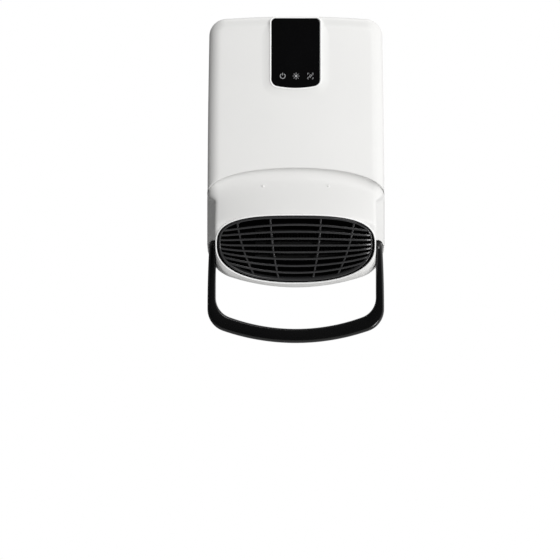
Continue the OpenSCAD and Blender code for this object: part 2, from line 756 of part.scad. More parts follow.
module screw_plugs() color(white) lift() plug_places() {
    translate([0, 0, -wall - 1]) cylinder(h = wall + 1.4, r = plug_r - 0.7 - snug);
    intersection() {
        translate([0, 0, 0.2]) cylinder(h = 1.4, r = plug_r);
        translate([0, 0, -1.4]) sphere(r = 3);
    }
}

// ---------------------------------------------------------------- grille

slat_bow_top = 0.38; // how much a slat above the middle bows towards its ends
slat_bow_low = 0.48;
slat_mid_y = 0.4; // height of the straight slat's row in the grille's plane
slat_above = 3; // slats above the straight one
rib_places = [33.3, 77.5];
rib_t = 2.4;

function slat_y(k, x) = let (y = (slat_above - k) * slat_pitch, bow = y > 0 ? slat_bow_top : slat_bow_low)
    slat_mid_y + y * (1 - bow * pow(x / grille_a, 2));
function rib_x(x, y) = let (t = y / grille_fall) x * (0.918 + 0.176 * t - 0.0825 * t * t);

module slat(k) {
    steps = 10;
    reach = grille_a - 1;
    polygon(concat(
        [for (i = [-steps:steps]) let (x = reach * i / steps) [x, slat_y(k, x) - slat_t / 2]],
        [for (i = [steps:-1:-steps]) let (x = reach * i / steps) [x, slat_y(k, x) + slat_t / 2]]
    ));
}

module rib(x0) {
    steps = 6;
    reach = grille_fall - 1;
    polygon(concat(
        [for (i = [-steps:steps]) let (y = reach * i / steps) [rib_x(x0, y) - rib_t / 2, y]],
        [for (i = [steps:-1:-steps]) let (y = reach * i / steps) [rib_x(x0, y) + rib_t / 2, y]]
    ));
}

module outlet_grille() color(dark) lift() on_outlet() {
    translate([0, 0, -grille_t]) linear_extrude(grille_t + 0.4) difference() {
        oval(0);
        oval(-grille_rim);
    }
    translate([0, 0, -grille_t + 1]) linear_extrude(grille_t - 2) intersection() {
        oval(-grille_rim + 0.5);
        union() for (k = [0:slat_count - 1]) slat(k);
    }
    translate([0, 0, -grille_t]) linear_extrude(grille_t - 2.6) intersection() {
        oval(-grille_rim + 0.5);
        union() for (x = rib_places, s = [-1, 1]) rib(s * x);
    }
}

// ---------------------------------------------------------------- rail

rail_low = pivot_h - rail_drop;
cap_r = 7.6;
cap_t = 1.5;
head_r = 7;
head_t = 2.6;
bolt_well = head_t + cap_t + fit;

// A U-shaped area from its bowed bottom up to high.
module u_area(hw, r, arc_r, low, high) polygon(close_up(concat(
    [[0, high]],
    [[hw, high]],
    [for (e = bottom_half(hw, r, arc_r, low, 9)) e[0]]
)));

arm_lean = asin((eye_r - bar_depth / 2) / rail_drop);

// The arm seen from the side: an eye, tapering down to the bar.
module arm_profile() polygon(concat(
    [for (a = [-arm_lean:(180 + 2 * arm_lean) / 24:180 + arm_lean + 0.01])
        [-pivot_depth + eye_r * cos(a), pivot_h + eye_r * sin(a)]],
    [[-pivot_depth - bar_depth / 2, rail_low - 1], [-pivot_depth + bar_depth / 2, rail_low - 1]]
));

module rail() color(black) lift() difference() {
    intersection() {
        slab(pivot_depth - eye_r - 5, pivot_depth + eye_r + 5) difference() {
            u_area(rail_x, rail_corner_r, bar_arc_r, rail_low, pivot_h + eye_r + 1);
            u_area(arm_in_x, rail_inner_r, bar_top_arc_r, rail_low + bar_h, pivot_h + eye_r + 2);
        }
        across(-rail_x - 1, rail_x + 1) arm_profile();
    }
    axle(pivot_depth, pivot_h, -rail_x - 1, rail_x + 1, pivot_r + run);
    both_sides() axle(pivot_depth, pivot_h, rail_x - bolt_well, rail_x + 1, cap_r);
}

bracket_x = notch_x - wall - 0.1; // outer face of the steel plate that carries the pivot
rail_bracket_t = 2;
spring_t = 1.2;
nut_t = 5;
thread_r = 3;
spring_x = bracket_x - rail_bracket_t - spring_t;
nut_x = spring_x - nut_t;

module rail_bolts() color(steel) lift() both_sides() {
    axle(pivot_depth, pivot_h, rail_x - bolt_well, rail_x - bolt_well + head_t, head_r);
    axle(pivot_depth, pivot_h, bracket_x, rail_x - bolt_well + 0.01, pivot_r);
    axle(pivot_depth, pivot_h, nut_x - 1.5, bracket_x + 0.01, thread_r);
}

module ring_x(x0, x1, r_in, r_out) difference() {
    axle(pivot_depth, pivot_h, x0, x1, r_out);
    axle(pivot_depth, pivot_h, x0 - 1, x1 + 1, r_in);
}

module rail_friction_washers() color(dark) lift() both_sides()
    ring_x(notch_x, notch_x + washer_t, pivot_r + run, eye_r - 1.5);

module rail_spring_washers() color(steel) lift() both_sides() ring_x(spring_x, spring_x + spring_t, thread_r + run, 5.5);

module rail_nuts() color(steel) lift() both_sides() difference() {
    translate([nut_x, -pivot_depth, pivot_h]) rotate([0, 90, 0]) cylinder(h = nut_t, r = 5.6, $fn = 6);
    axle(pivot_depth, pivot_h, nut_x - 1, nut_x + nut_t + 1, thread_r);
}

module rail_caps() color(black) lift() both_sides() axle(pivot_depth, pivot_h, rail_x - cap_t, rail_x, cap_r - 0.02);

module rail_brackets() color(steel) lift() both_sides() difference() {
    union() {
        block([bracket_x - rail_bracket_t, bracket_x], [foot_depth, pivot_depth + 10], [pivot_h - 12, pivot_h + 12]);
        block([half_w - 26.5, bracket_x], [foot_depth, foot_depth + rail_bracket_t], [pivot_h - 14, pivot_h + 14]);
    }
    axle(pivot_depth, pivot_h, bracket_x - 5, bracket_x + 1, thread_r + run);
    for (p = rail_feet) post(p[0], p[1], foot_depth - 1, foot_depth + 5, screw_r + fit);
}

module foot_screw(p, d) {
    post(p[0], p[1], d, d + 2, 3);
    post(p[0], p[1], wall + 0.5, d + 0.01, screw_r);
}

module rail_bracket_screws() color(steel) lift() both_sides() for (p = rail_feet)
    foot_screw(p, foot_depth + rail_bracket_t);

// ---------------------------------------------------------------- air guide

guide_t = 1.6;
plate_t = 2;
scroll_end = scroll_x + scroll_len;
mouth_low = frame_back - (frame_half_h - 1) * heater_up;
mouth_high = frame_back + (frame_half_h - 1) * heater_up;
fan_mid = [-fan_depth, fan_h];
guide_mid = fan_mid + [-2, -2];

scroll_arc = [for (i = [0:14]) let (a = -90 + 150 * i / 14) [cos(a), sin(a)]];

// The floor and back of the air guide, from the heater's lower edge round behind the impeller.
module guide_floor() polygon(concat(
    [mouth_low],
    [for (e = scroll_arc) guide_mid + scroll_r * e],
    [for (i = [14:-1:0]) guide_mid + (scroll_r + guide_t) * scroll_arc[i]],
    [mouth_low + [0, -guide_t]]
));

// The lip between the impeller's inlet and its outlet.
lip_start = fan_mid + (fan_r + 3.5) * [-cos(28), sin(28)];
module guide_lip() polygon([lip_start, mouth_high, mouth_high + [0.4, guide_t], lip_start + [1.6, guide_t]]);

module end_plate_shape() polygon([
    frame_front - frame_half_h * heater_up, frame_front + frame_half_h * heater_up, mouth_high + [2, 8],
    fan_mid + [-12, fan_r + 10], fan_mid + [26, fan_r + 8],
    [-foot_depth, fan_h + 50], [-foot_depth, fan_h + 24], [-foot_depth - 4, fan_h],
    [-foot_depth, fan_h - 30], [-foot_depth, fan_h - 52], guide_mid + [10, -scroll_r - 6]
]);

module fan_scroll() color(dark) lift() difference() {
    union() {
        across(scroll_x - plate_t / 2, scroll_end + plate_t / 2) guide_floor();
        across(scroll_x - plate_t / 2, scroll_end + plate_t / 2) guide_lip();
        across(scroll_x - plate_t, scroll_x) end_plate_shape();
        across(scroll_end, scroll_end + plate_t) end_plate_shape();
        for (p = scroll_feet) block([p[0] - 8.5, p[0] + 8.5], [foot_depth, foot_depth + 2], [p[1] - 5, p[1] + 5]);
    }
    axle(fan_depth, fan_h, scroll_x - plate_t - 1, scroll_x + 1, 12);
    for (p = motor_holes) axle(-p[0], p[1], scroll_x - plate_t - 1, scroll_x + 1, 1.5);
    axle(fan_depth, fan_h, scroll_end - 1, scroll_end + plate_t + 1, mount_ring_r);
    for (p = scroll_feet) post(p[0], p[1], foot_depth - 1, foot_depth + 5, screw_r + fit);
}

module scroll_screws() color(steel) lift() for (p = scroll_feet) foot_screw(p, foot_depth + 2);

// ---------------------------------------------------------------- fan

fan_x0 = scroll_x + (scroll_len - fan_len) / 2;
fan_x1 = fan_x0 + fan_len;
hub_r = 6;
disc_t = 1.6;

module blade_ring() for (i = [0:blade_count - 1]) rotate(i * 360 / blade_count)
    translate([fan_r - 8, 0]) rotate(28) square([9, 0.8]);

module fan_blades() intersection() {
    blade_ring();
    circle(r = fan_r - 0.2);
}

module fan_impeller() color(dark) lift() difference() {
    union() {
        for (x = [fan_x0, (fan_x0 + fan_x1 - disc_t) / 2, fan_x1 - disc_t]) axle(fan_depth, fan_h, x, x + disc_t, fan_r);
        translate([0, -fan_depth, fan_h]) across(fan_x0 + disc_t / 2, fan_x1 - disc_t / 2) fan_blades();
        axle(fan_depth, fan_h, fan_x0, fan_x0 + 12, hub_r);
        axle(fan_depth, fan_h, fan_x1 - 12, fan_x1, hub_r);
    }
    axle(fan_depth, fan_h, fan_x0 - 1, fan_x1 + 1, shaft_r);
}

// Motor
motor_plate_t = 1.5;
motor_right = scroll_x - plate_t - motor_plate_t;
stack_x1 = motor_right - 4;
stack_x0 = stack_x1 - stack_t;
bush_t = 5;
bush_r = 5;
mount_ring_r = 10;
motor_left = stack_x0 - 4;
shaft_x0 = motor_left - bush_t - 1;
shaft_x1 = scroll_end + plate_t + 5;

module fan_shaft() color(steel) lift() axle(fan_depth, fan_h, shaft_x0, shaft_x1, shaft_r);

module bush(x0) difference() {
    axle(fan_depth, fan_h, x0, x0 + bush_t, bush_r);
    axle(fan_depth, fan_h, x0 - 1, x0 + bush_t + 1, shaft_r + run);
}

module end_bush() color(brass) lift() bush(scroll_end + plate_t - bush_t + 3);

module end_bush_mount() color(dark) lift() difference() {
    axle(fan_depth, fan_h, scroll_end - 0.5, scroll_end + plate_t + 3, mount_ring_r);
    axle(fan_depth, fan_h, scroll_end - 2, scroll_end + plate_t + 4, bush_r);
}

stator_half_w = 25;
stator_low = fan_h - 23;
stator_high = fan_h + 46;
coil_over = 3.5;
yoke_t = 10;
window_low = fan_h + 19;
motor_holes = [for (s = [-1, 1]) [-fan_depth + s * (stator_half_w - 5), fan_h - 16]];

module stator_shape() difference() {
    translate([-fan_depth - stator_half_w, stator_low]) square([2 * stator_half_w, stator_high - stator_low]);
    translate(fan_mid) circle(r = rotor_r + 0.5);
    translate([-fan_depth - stator_half_w + yoke_t, window_low]) square([2 * (stator_half_w - yoke_t), stator_high - yoke_t - window_low]);
    for (p = motor_holes) translate(p) circle(r = 1.8);
}

module motor_stator() color(steel) lift() across(stack_x0, stack_x1) stator_shape();

coil_half = stator_half_w - yoke_t - 1;
module motor_coil() color(copper) lift() difference() {
    block([stack_x0 - coil_over, stack_x1 + coil_over], [fan_depth - coil_half, fan_depth + coil_half], [window_low + 2, stator_high + 8]);
    block([stack_x0 - fit, stack_x1 + fit], [fan_depth - coil_half - 1, fan_depth + coil_half + 1],
        [stator_high - yoke_t - fit, stator_high + fit]);
}

module motor_rotor() color(steel) lift() difference() {
    axle(fan_depth, fan_h, stack_x0, stack_x1, rotor_r);
    axle(fan_depth, fan_h, stack_x0 - 1, stack_x1 + 1, shaft_r);
}

module motor_plate(x_face, x_out) difference() {
    union() {
        across(min(x_out, x_out + motor_plate_t), max(x_out, x_out + motor_plate_t))
            translate([-fan_depth - stator_half_w, stator_low]) square([2 * stator_half_w, 2 * (fan_h - stator_low) - 6]);
        for (p = motor_holes) translate([min(x_face, x_out), p[0], p[1]]) rotate([0, 90, 0])
            cylinder(h = abs(x_out - x_face) + (x_out > x_face ? motor_plate_t / 2 : 0), r = 4);
    }
    axle(fan_depth, fan_h, -half_w, half_w, bush_r);
    for (p = motor_holes) axle(-p[0], p[1], -half_w, half_w, 1.8);
}

module motor_brackets() color(steel) lift() {
    motor_plate(stack_x0, motor_left - motor_plate_t);
    motor_plate(stack_x1, motor_right);
}

module motor_bushes() color(brass) lift() {
    bush(motor_left - bush_t + 1);
    bush(motor_right - 1);
}

module motor_screws() color(steel) lift() for (p = motor_holes) {
    axle(-p[0], p[1], motor_left - motor_plate_t - 0.01, scroll_x, 1.5);
    axle(-p[0], p[1], motor_left - motor_plate_t - 2.4, motor_left - motor_plate_t, 3);
}

// ---------------------------------------------------------------- heater

heater_x = (scroll_x + scroll_end) / 2;
heater_half_len = scroll_len / 2 - frame_edge - 1;

module on_heater() translate([heater_x, heater_mid[0], heater_mid[1]]) rotate([90 + grille_tilt, 0, 0]) children();

tube_h = 8;
fin_pitch = 4;
fin_t = 0.8;
module heater_shape() {
    fins = floor((2 * heater_half_len - 4) / fin_pitch);
    for (y = [-heater_h / 2, -tube_h / 2, heater_h / 2 - tube_h])
        translate([-heater_half_len, y]) square([2 * heater_half_len, tube_h]);
    for (i = [0:fins]) translate([-heater_half_len + 2 + i * fin_pitch, -heater_h / 2 + 1]) square([fin_t, heater_h - 2]);
}

module heater_element() color(steel) lift() on_heater()
    translate([0, 0, -heater_t / 2]) linear_extrude(heater_t) heater_shape();

module heater_frame() color(dark) lift() on_heater() translate([0, 0, -heater_t / 2 - 1]) difference() {
    linear_extrude(heater_t + 2)
        square([scroll_len - 2 * snug, 2 * frame_half_h], center = true);
    translate([0, 0, 1]) linear_extrude(heater_t + 2)
        square([2 * heater_half_len + snug, heater_h + snug], center = true);
    translate([0, 0, -1]) linear_extrude(heater_t + 4)
        square([2 * heater_half_len - 6, heater_h - 6], center = true);
}

module thermostat() color(cream) lift() on_heater() translate([-18, frame_half_h + 0.05, -4]) {
    cube([16, 3, 8]);
    translate([8, 3, 4]) rotate([-90, 0, 0]) cylinder(h = 6, r = 7);
}

module thermal_fuse() color(steel) lift() on_heater() translate([10, frame_half_h + 2.6, 0]) rotate([0, 90, 0]) {
    cylinder(h = 24, r = 2.5);
    translate([0, 0, -8]) cylinder(h = 40, r = 0.6);
}

// ---------------------------------------------------------------- electronics

module control_board() color(board_green) lift() difference() {
    block([board_x - board_w / 2, board_x + board_w / 2], [board_depth, board_depth + board_t],
        [board_mid - board_h / 2, board_mid + board_h / 2]);
    for (p = board_holes) post(p[0], p[1], board_depth - 1, board_depth + 3, screw_r + 0.1);
}

board_face = board_depth + board_t;
module board_screws() color(steel) lift() for (p = board_holes) {
    post(p[0], p[1], board_face, board_face + 2, 3);
    post(p[0], p[1], wall + 1, board_face + 0.01, screw_r);
}

// Length across, reach out of the board and height of each block on it; they stand on one line.
relay_size = [19, 15, 16];
relay_pitch = 24;
supply_size = [32, 20, 26];
capacitor_size = [10, 16, 26];
parts_low = board_mid - 12;
module on_board(x, size) block([board_x + x, board_x + x + size[0]], [board_face, board_face + size[1]],
    [parts_low, parts_low + size[2]]);

module relays() color("royalblue") lift() for (i = [0, 1]) on_board(-44 + i * relay_pitch, relay_size);

module power_supply() color(cream) lift() on_board(14, supply_size);

module capacitor() color(amber) lift() on_board(54, capacitor_size);

module terminal_block() color(cream) lift() difference() {
    union() {
        block([terminal_x - 18, terminal_x + 18], [foot_depth, foot_depth + 14], [terminal_h - 8, terminal_h + 4]);
        block([terminal_x - 18, terminal_x + 18], [foot_depth, foot_depth + 3], [terminal_h - 19, terminal_h - 8]);
    }
    for (i = [-1:1]) post(terminal_x + i * 11, terminal_h - 2, foot_depth + 4, foot_depth + 15, 2.6);
    for (sx = [-1, 1]) post(terminal_x + sx * 14, terminal_h - 14, foot_depth - 1, foot_depth + 4, screw_r);
}

grommet_wall_r = grommet_r - 1.5;
module cable_grommet() color(dark) lift() difference() {
    union() {
        post(grommet_x, grommet_h, 0.6, wall + 2, grommet_wall_r - 0.05);
        post(grommet_x, grommet_h, wall + 0.05, wall + 2, grommet_r);
    }
    post(grommet_x, grommet_h, -1, wall + 5, cable_r);
}

module cable_clamp() color(cream) lift() block([grommet_x - 12, grommet_x + 12], [wall, wall + 4], [grommet_h - 18, grommet_h - 12]);

// ---------------------------------------------------------------- mains switch

rocker_tilt = 8;
rocker_r = 6;
module switch_body() color(black) lift() difference() {
    union() {
        block([switch_x - switch_t, switch_x + 0.01],
            [switch_depth - switch_across / 2, switch_depth + switch_across / 2],
            [switch_h - switch_len / 2, switch_h + switch_len / 2]);
        block([switch_x, switch_x + switch_flange],
            [switch_depth - switch_across / 2 - 1.5, switch_depth + switch_across / 2 + 1.5],
            [switch_h - switch_len / 2 - 1.5, switch_h + switch_len / 2 + 1.5]);
    }
    block([switch_x - 7, switch_x + 3],
        [switch_depth - switch_across / 2 + 1.2, switch_depth + switch_across / 2 - 1.2],
        [switch_h - switch_len / 2 + 1.2, switch_h + switch_len / 2 - 1.2]);
    rocker_pin(rocker_pin_r + run, switch_across + 1);
}

// The round pin that the rocker turns on, in the walls of the switch's body.
module rocker_pin(r, length) translate([rocker_x, -switch_depth, switch_h])
    rotate([90, 0, 0]) translate([0, 0, -length / 2]) cylinder(r = r, h = length);

module switch_rocker() color(black) lift() union() {
    translate([rocker_x, -switch_depth, switch_h]) rotate([0, rocker_tilt, 0])
        rotate([90, 0, 0]) translate([0, 0, -switch_across / 2 + 1.5]) linear_extrude(switch_across - 3) polygon([
            [-2, -rocker_r], [-2, rocker_r], [3.4, rocker_r + 1.6], [2.6, 0], [3.4, -rocker_r - 1.6]
        ]);
    rocker_pin(rocker_pin_r, switch_across);
}

// ---------------------------------------------------------------- the nodes

rear_housing();
front_cover();
lower_cover();
display_bezel();
display_window();
display_board();
digit_display();
touch_contacts();
remote_receiver();
buzzer();
outlet_grille();
screw_plugs();
case_screws();
wall_bracket();
rail();
rail_bolts();
rail_friction_washers();
rail_spring_washers();
rail_nuts();
rail_caps();
rail_brackets();
rail_bracket_screws();
fan_scroll();
scroll_screws();
fan_impeller();
fan_shaft();
end_bush();
end_bush_mount();
motor_stator();
motor_coil();
motor_rotor();
motor_brackets();
motor_bushes();
motor_screws();
heater_element();
heater_frame();
thermostat();
thermal_fuse();
control_board();
board_screws();
relays();
power_supply();
capacitor();
terminal_block();
cable_grommet();
cable_clamp();
switch_body();
switch_rocker();
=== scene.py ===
"""A bathroom wall fan heater, dressed for close views.

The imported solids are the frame, and every piece here rides on one of its bodies. Sizes in the classes are
millimetres: x to the right, depth out from the wall, height above the body's lowest point.
"""

from __future__ import annotations

import json
import logging
import math
from collections.abc import Callable, Iterable, Sequence
from dataclasses import dataclass, replace
from enum import Enum
from itertools import accumulate
from typing import Any

import bmesh
import bpy
from bmesh.types import BMEdge, BMesh, BMVert
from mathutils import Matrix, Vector
from mathutils.kdtree import KDTree

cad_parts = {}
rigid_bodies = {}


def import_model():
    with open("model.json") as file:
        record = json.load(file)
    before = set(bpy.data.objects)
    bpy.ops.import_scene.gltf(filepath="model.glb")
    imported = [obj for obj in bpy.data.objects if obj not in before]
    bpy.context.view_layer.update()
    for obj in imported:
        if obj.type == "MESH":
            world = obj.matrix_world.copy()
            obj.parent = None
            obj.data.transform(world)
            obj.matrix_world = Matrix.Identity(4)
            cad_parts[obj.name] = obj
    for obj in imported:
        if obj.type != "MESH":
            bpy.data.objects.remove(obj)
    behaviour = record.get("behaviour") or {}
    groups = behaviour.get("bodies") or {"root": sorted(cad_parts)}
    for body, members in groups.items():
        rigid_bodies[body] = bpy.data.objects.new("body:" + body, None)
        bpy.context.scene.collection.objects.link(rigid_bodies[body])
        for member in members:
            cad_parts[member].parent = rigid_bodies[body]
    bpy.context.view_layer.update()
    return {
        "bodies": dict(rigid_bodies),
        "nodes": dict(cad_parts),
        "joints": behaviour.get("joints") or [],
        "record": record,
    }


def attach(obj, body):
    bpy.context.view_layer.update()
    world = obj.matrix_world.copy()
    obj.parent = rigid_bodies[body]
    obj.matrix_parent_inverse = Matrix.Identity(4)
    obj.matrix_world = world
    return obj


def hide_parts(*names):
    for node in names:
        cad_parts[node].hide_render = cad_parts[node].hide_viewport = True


LOG = logging.getLogger("wall_heater")
MM = 0.001
MOUNT_HEIGHT = 240.0
SAME_PLACE = 2e-6
SAME_DEPTH = 1e-6
NEAR = 1e-5
TINY = 1e-9
LEVEL = 1e-6
LEAST_WALL = 0.05
SHARP_FROM = math.radians(40.0)
OUTLINE_FROM = math.radians(32.0)
OUTLINE_SHARE = 0.6
SETTLE_STEPS = 40
QUARTER = math.pi / 2
TURN = 2 * math.pi
ROUGH_NOISE = 0.6
MIX_A, MIX_B, MIX_RESULT = 6, 7, 2
SIDES = ((1.0, "right"), (-1.0, "left"))

Flat = tuple[float, float]
Triple = tuple[float, float, float]
Colour = Triple
Ring = list[Vector]
Path = Callable[[float], Flat]
Row = tuple[float, float | None]


class Slot(Enum):
    """The record's material slots."""

    SHELL = "shell_white"
    GRILLE = "grille_black"
    WINDOW = "window_black"
    RAIL = "rail_black"
    DARK = "dark_plastic"
    CREAM = "cream_plastic"
    AMBER = "amber_plastic"
    RELAY = "relay_blue"
    ZINC = "zinc_steel"
    LAMINATION = "lamination_steel"
    HEATER = "heater_aluminium"
    BRASS = "bush_brass"
    RUBBER = "mount_rubber"
    COPPER = "coil_copper"
    BOARD = "board_green"


class Body(Enum):
    """The moving bodies of the frame."""

    FIXED = "body"
    RAIL = "hanging_rail"
    ROTOR = "fan_rotor"
    ROCKER = "rocker"


def place(x: float, depth: float, height: float) -> Vector:
    """Returns the point of the frame, in metres, for sizes in millimetres."""
    return Vector((x, -depth, height - MOUNT_HEIGHT)) * MM


def blend(a: float, b: float, t: float) -> float:
    """Returns the value a share t of the way from a to b."""
    return a + (b - a) * t


def held(value: float, low: float = 0.0, high: float = 1.0) -> float:
    """Returns value, kept between low and high."""
    return max(low, min(high, value))


def eased(t: float) -> float:
    """Returns t, kept between 0 and 1, with a soft start and end."""
    t = held(t)
    return t * t * (3 - 2 * t)


def last_place(low: float, high: float, holds: Callable[[float], bool], steps: int = 24) -> float:
    """Returns the last place between low and high up to which holds says yes."""
    for _ in range(steps):
        middle = (low + high) / 2
        low, high = (middle, high) if holds(middle) else (low, middle)
    return low


def lengths_along(points: Sequence[Vector]) -> list[float]:
    """Returns how far along a line each of its points lies."""
    return list(accumulate(((b - a).length for a, b in zip(points, points[1:])), initial=0.0))


def shaded(colour: Colour, by: float) -> Colour:
    """Returns a colour times a factor."""
    return tuple(c * by for c in colour)


# ---------------------------------------------------------------- finishes


class Signal:
    """A shader socket that takes part in sums, so that shader maths reads as an expression."""

    def __init__(self, tree: FinishTree, socket: bpy.types.NodeSocket) -> None:
        """Wraps one output socket of a tree."""
        self.tree = tree
        self.socket = socket

    def _math(self, operation: str, *terms: Any) -> Signal:
        """Adds one Math node over the terms and returns its value."""
        node = self.tree.node("ShaderNodeMath", {"operation": operation}, dict(enumerate(terms)))
        return Signal(self.tree, node.outputs[0])

    def __add__(self, other: Any) -> Signal:
        """Returns self + other."""
        return self._math("ADD", self, other)

    def __sub__(self, other: Any) -> Signal:
        """Returns self - other."""
        return self._math("SUBTRACT", self, other)

    def __rsub__(self, other: Any) -> Signal:
        """Returns other - self."""
        return self._math("SUBTRACT", other, self)

    def __mul__(self, other: Any) -> Signal:
        """Returns self * other."""
        return self._math("MULTIPLY", self, other)

    def larger(self, other: Any) -> Signal:
        """Returns the larger of self and other."""
        return self._math("MAXIMUM", self, other)

    def fold(self, pitch: float) -> Signal:
        """Returns a wave between 0 and 1 that repeats every pitch."""
        return self._math("PINGPONG", self, pitch / 2) * (2 / pitch)

    def step(self, low: float, high: float) -> Signal:
        """Returns a soft step from 0 at low to 1 at high."""
        node = self.tree.node(
            "ShaderNodeMapRange",
            {"interpolation_type": "SMOOTHSTEP"},
            {"Value": self, "From Min": low, "From Max": high, "To Min": 0.0, "To Max": 1.0},
        )
        return Signal(self.tree, node.outputs[0])


class FinishTree:
    """The node tree of one finish, with the calls that build it."""

    def __init__(self, name: str) -> None:
        """Starts an empty material of that name."""
        self.material = bpy.data.materials.new(name)
        self.material.use_nodes = True
        self.tree = self.material.node_tree
        self.tree.nodes.clear()
        self.coords = self.node("ShaderNodeTexCoord").outputs["Object"]

    def node(
        self, kind: str, settings: dict[str, Any] | None = None, sockets: dict[Any, Any] | None = None
    ) -> bpy.types.Node:
        """Adds one node.

        Args:
            kind: The node's type.
            settings: Its own settings, which are set first.
            sockets: Values or links of its input sockets, by name or number.

        Returns:
            The new node.
        """
        node = self.tree.nodes.new(kind)
        for key, value in (settings or {}).items():
            setattr(node, key, value)
        for key, value in (sockets or {}).items():
            target = node.inputs[key]
            if isinstance(value, Signal):
                value = value.socket
            if isinstance(value, bpy.types.NodeSocket):
                self.tree.links.new(value, target)
            elif isinstance(value, tuple) and len(value) == 3 and target.type == "RGBA":
                target.default_value = (*value, 1.0)
            else:
                target.default_value = value
        return node

    def moved(self, turn: Triple = (0, 0, 0), scale: Triple = (1, 1, 1)) -> Any:
        """Returns the object's coordinates, turned (degrees) and stretched."""
        node = self.node(
            "ShaderNodeMapping",
            {"vector_type": "POINT"},
            {"Vector": self.coords, "Rotation": tuple(math.radians(t) for t in turn), "Scale": scale},
        )
        return node.outputs[0]

    def noise(self, scale: float, detail: float = 2.0, rough: float = 0.5, at: Any = None) -> Signal:
        """Returns a cloud with so many features to the metre."""
        node = self.node(
            "ShaderNodeTexNoise",
            {"noise_dimensions": "3D"},
            {"Vector": at or self.coords, "Scale": scale, "Detail": detail, "Roughness": rough},
        )
        return Signal(self, node.outputs[0])

    def cells(self, scale: float) -> Signal:
        """Returns the distance to the middle of the nearest of a field's cells."""
        node = self.node("ShaderNodeTexVoronoi", {"feature": "F1"}, {"Vector": self.coords, "Scale": scale})
        return Signal(self, node.outputs["Distance"])

    def along(self, axis: int, at: Any = None) -> Signal:
        """Returns one coordinate: 0, 1 or 2 for x, y or z."""
        node = self.node("ShaderNodeSeparateXYZ", None, {0: at or self.coords})
        return Signal(self, node.outputs[axis])

    def mixed(self, factor: Any, a: Any, b: Any) -> Any:
        """Returns a mix of two colours."""
        node = self.node("ShaderNodeMix", {"data_type": "RGBA"}, {"Factor": factor, MIX_A: a, MIX_B: b})
        return node.outputs[MIX_RESULT]

    def bump(self, height: Signal, distance: float, strength: float = 1.0, under: Any = None) -> Any:
        """Returns the normal of a surface that height raises by up to distance, in metres."""
        sockets = {"Height": height, "Distance": distance, "Strength": strength}
        if under is not None:
            sockets["Normal"] = under
        return self.node("ShaderNodeBump", None, sockets).outputs[0]

    def surface(self, **sockets: Any) -> bpy.types.Material:
        """Closes the tree with a Principled shader.

        Args:
            **sockets: The shader's inputs, with underscores for spaces.

        Returns:
            The finished material.
        """
        named = {key.replace("_", " "): value for key, value in sockets.items()}
        shader = self.node("ShaderNodeBsdfPrincipled", None, named)
        self.node("ShaderNodeOutputMaterial", None, {"Surface": shader.outputs[0]})
        return self.material


@dataclass(frozen=True)
class Plastic:
    """An injection-moulded plastic: two near tones, an eroded tool's grain and a slight swell."""

    name: str
    colour: Colour
    second: Colour
    roughness: float = 0.4
    spread: float = 0.08
    grain: float = 1800.0
    grain_depth: float = 0.000006
    swell_depth: float = 0.00002
    specular: float = 0.5
    coat: float = 0.0
    coat_roughness: float = 0.12
    cloud_scale: float = 14.0
    swell_scale: float = 55.0
    swell_strength: float = 0.6
    fine_spread: float = 0.6
    tones: Flat = (0.7, 0.3)
    tone_span: Flat = (0.3, 0.7)

    def build(self) -> bpy.types.Material:
        """Returns the material."""
        tree = FinishTree(self.name)
        cloud = tree.noise(self.cloud_scale, 3.0)
        fine = tree.noise(self.grain, 2.0, ROUGH_NOISE)
        swell = tree.noise(self.swell_scale, 1.0)
        tone = (cloud * self.tones[0] + fine * self.tones[1]).step(*self.tone_span)
        rough = (cloud - 0.5) * self.spread + (fine - 0.5) * (self.spread * self.fine_spread) + self.roughness
        normal = tree.bump(swell, self.swell_depth, self.swell_strength)
        normal = tree.bump(fine, self.grain_depth, 1.0, normal)
        return tree.surface(
            Base_Color=tree.mixed(tone, self.colour, self.second),
            Roughness=rough,
            Normal=normal,
            Specular_IOR_Level=self.specular,
            Coat_Weight=self.coat,
            Coat_Roughness=self.coat_roughness,
        )


@dataclass(frozen=True)
class GlossPanel:
    """A polished dark panel with the faint haze that wiping leaves."""

    name: str
    colour: Colour
    roughness: float = 0.05
    specular: float = 0.45
    coat: float = 0.4
    coat_roughness: float = 0.04
    haze_scale: float = 26.0
    haze_turn: Triple = (0, 35, 0)
    haze_stretch: Triple = (1.0, 1.0, 0.25)
    haze_span: Flat = (0.5, 0.75)
    haze_rise: float = 0.06
    tint_scale: float = 40.0
    tint: float = 1.5
    swell_scale: float = 30.0
    swell_depth: float = 0.00001
    swell_strength: float = 0.4

    def build(self) -> bpy.types.Material:
        """Returns the material."""
        tree = FinishTree(self.name)
        where = tree.moved(self.haze_turn, self.haze_stretch)
        haze = tree.noise(self.haze_scale, 4.0, ROUGH_NOISE, where).step(*self.haze_span)
        return tree.surface(
            Base_Color=tree.mixed(tree.noise(self.tint_scale), self.colour, shaded(self.colour, self.tint)),
            Roughness=haze * self.haze_rise + self.roughness,
            Normal=tree.bump(tree.noise(self.swell_scale), self.swell_depth, self.swell_strength),
            Specular_IOR_Level=self.specular,
            Coat_Weight=self.coat,
            Coat_Roughness=self.coat_roughness,
        )


@dataclass(frozen=True)
class PrintedInk:
    """Ink printed on a panel: an even tone with a slightly open grain."""

    name: str
    colour: Colour
    faded: float = 0.86
    roughness: float = 0.45
    spread: float = 0.1
    grain: float = 5200.0
    grain_span: Flat = (0.35, 0.65)
    grain_depth: float = 0.000004

    def build(self) -> bpy.types.Material:
        """Returns the material."""
        tree = FinishTree(self.name)
        grain = tree.noise(self.grain, 1.0)
        return tree.surface(
            Base_Color=tree.mixed(grain.step(*self.grain_span), self.colour, shaded(self.colour, self.faded)),
            Roughness=grain * self.spread + self.roughness,
            Normal=tree.bump(grain, self.grain_depth),
        )


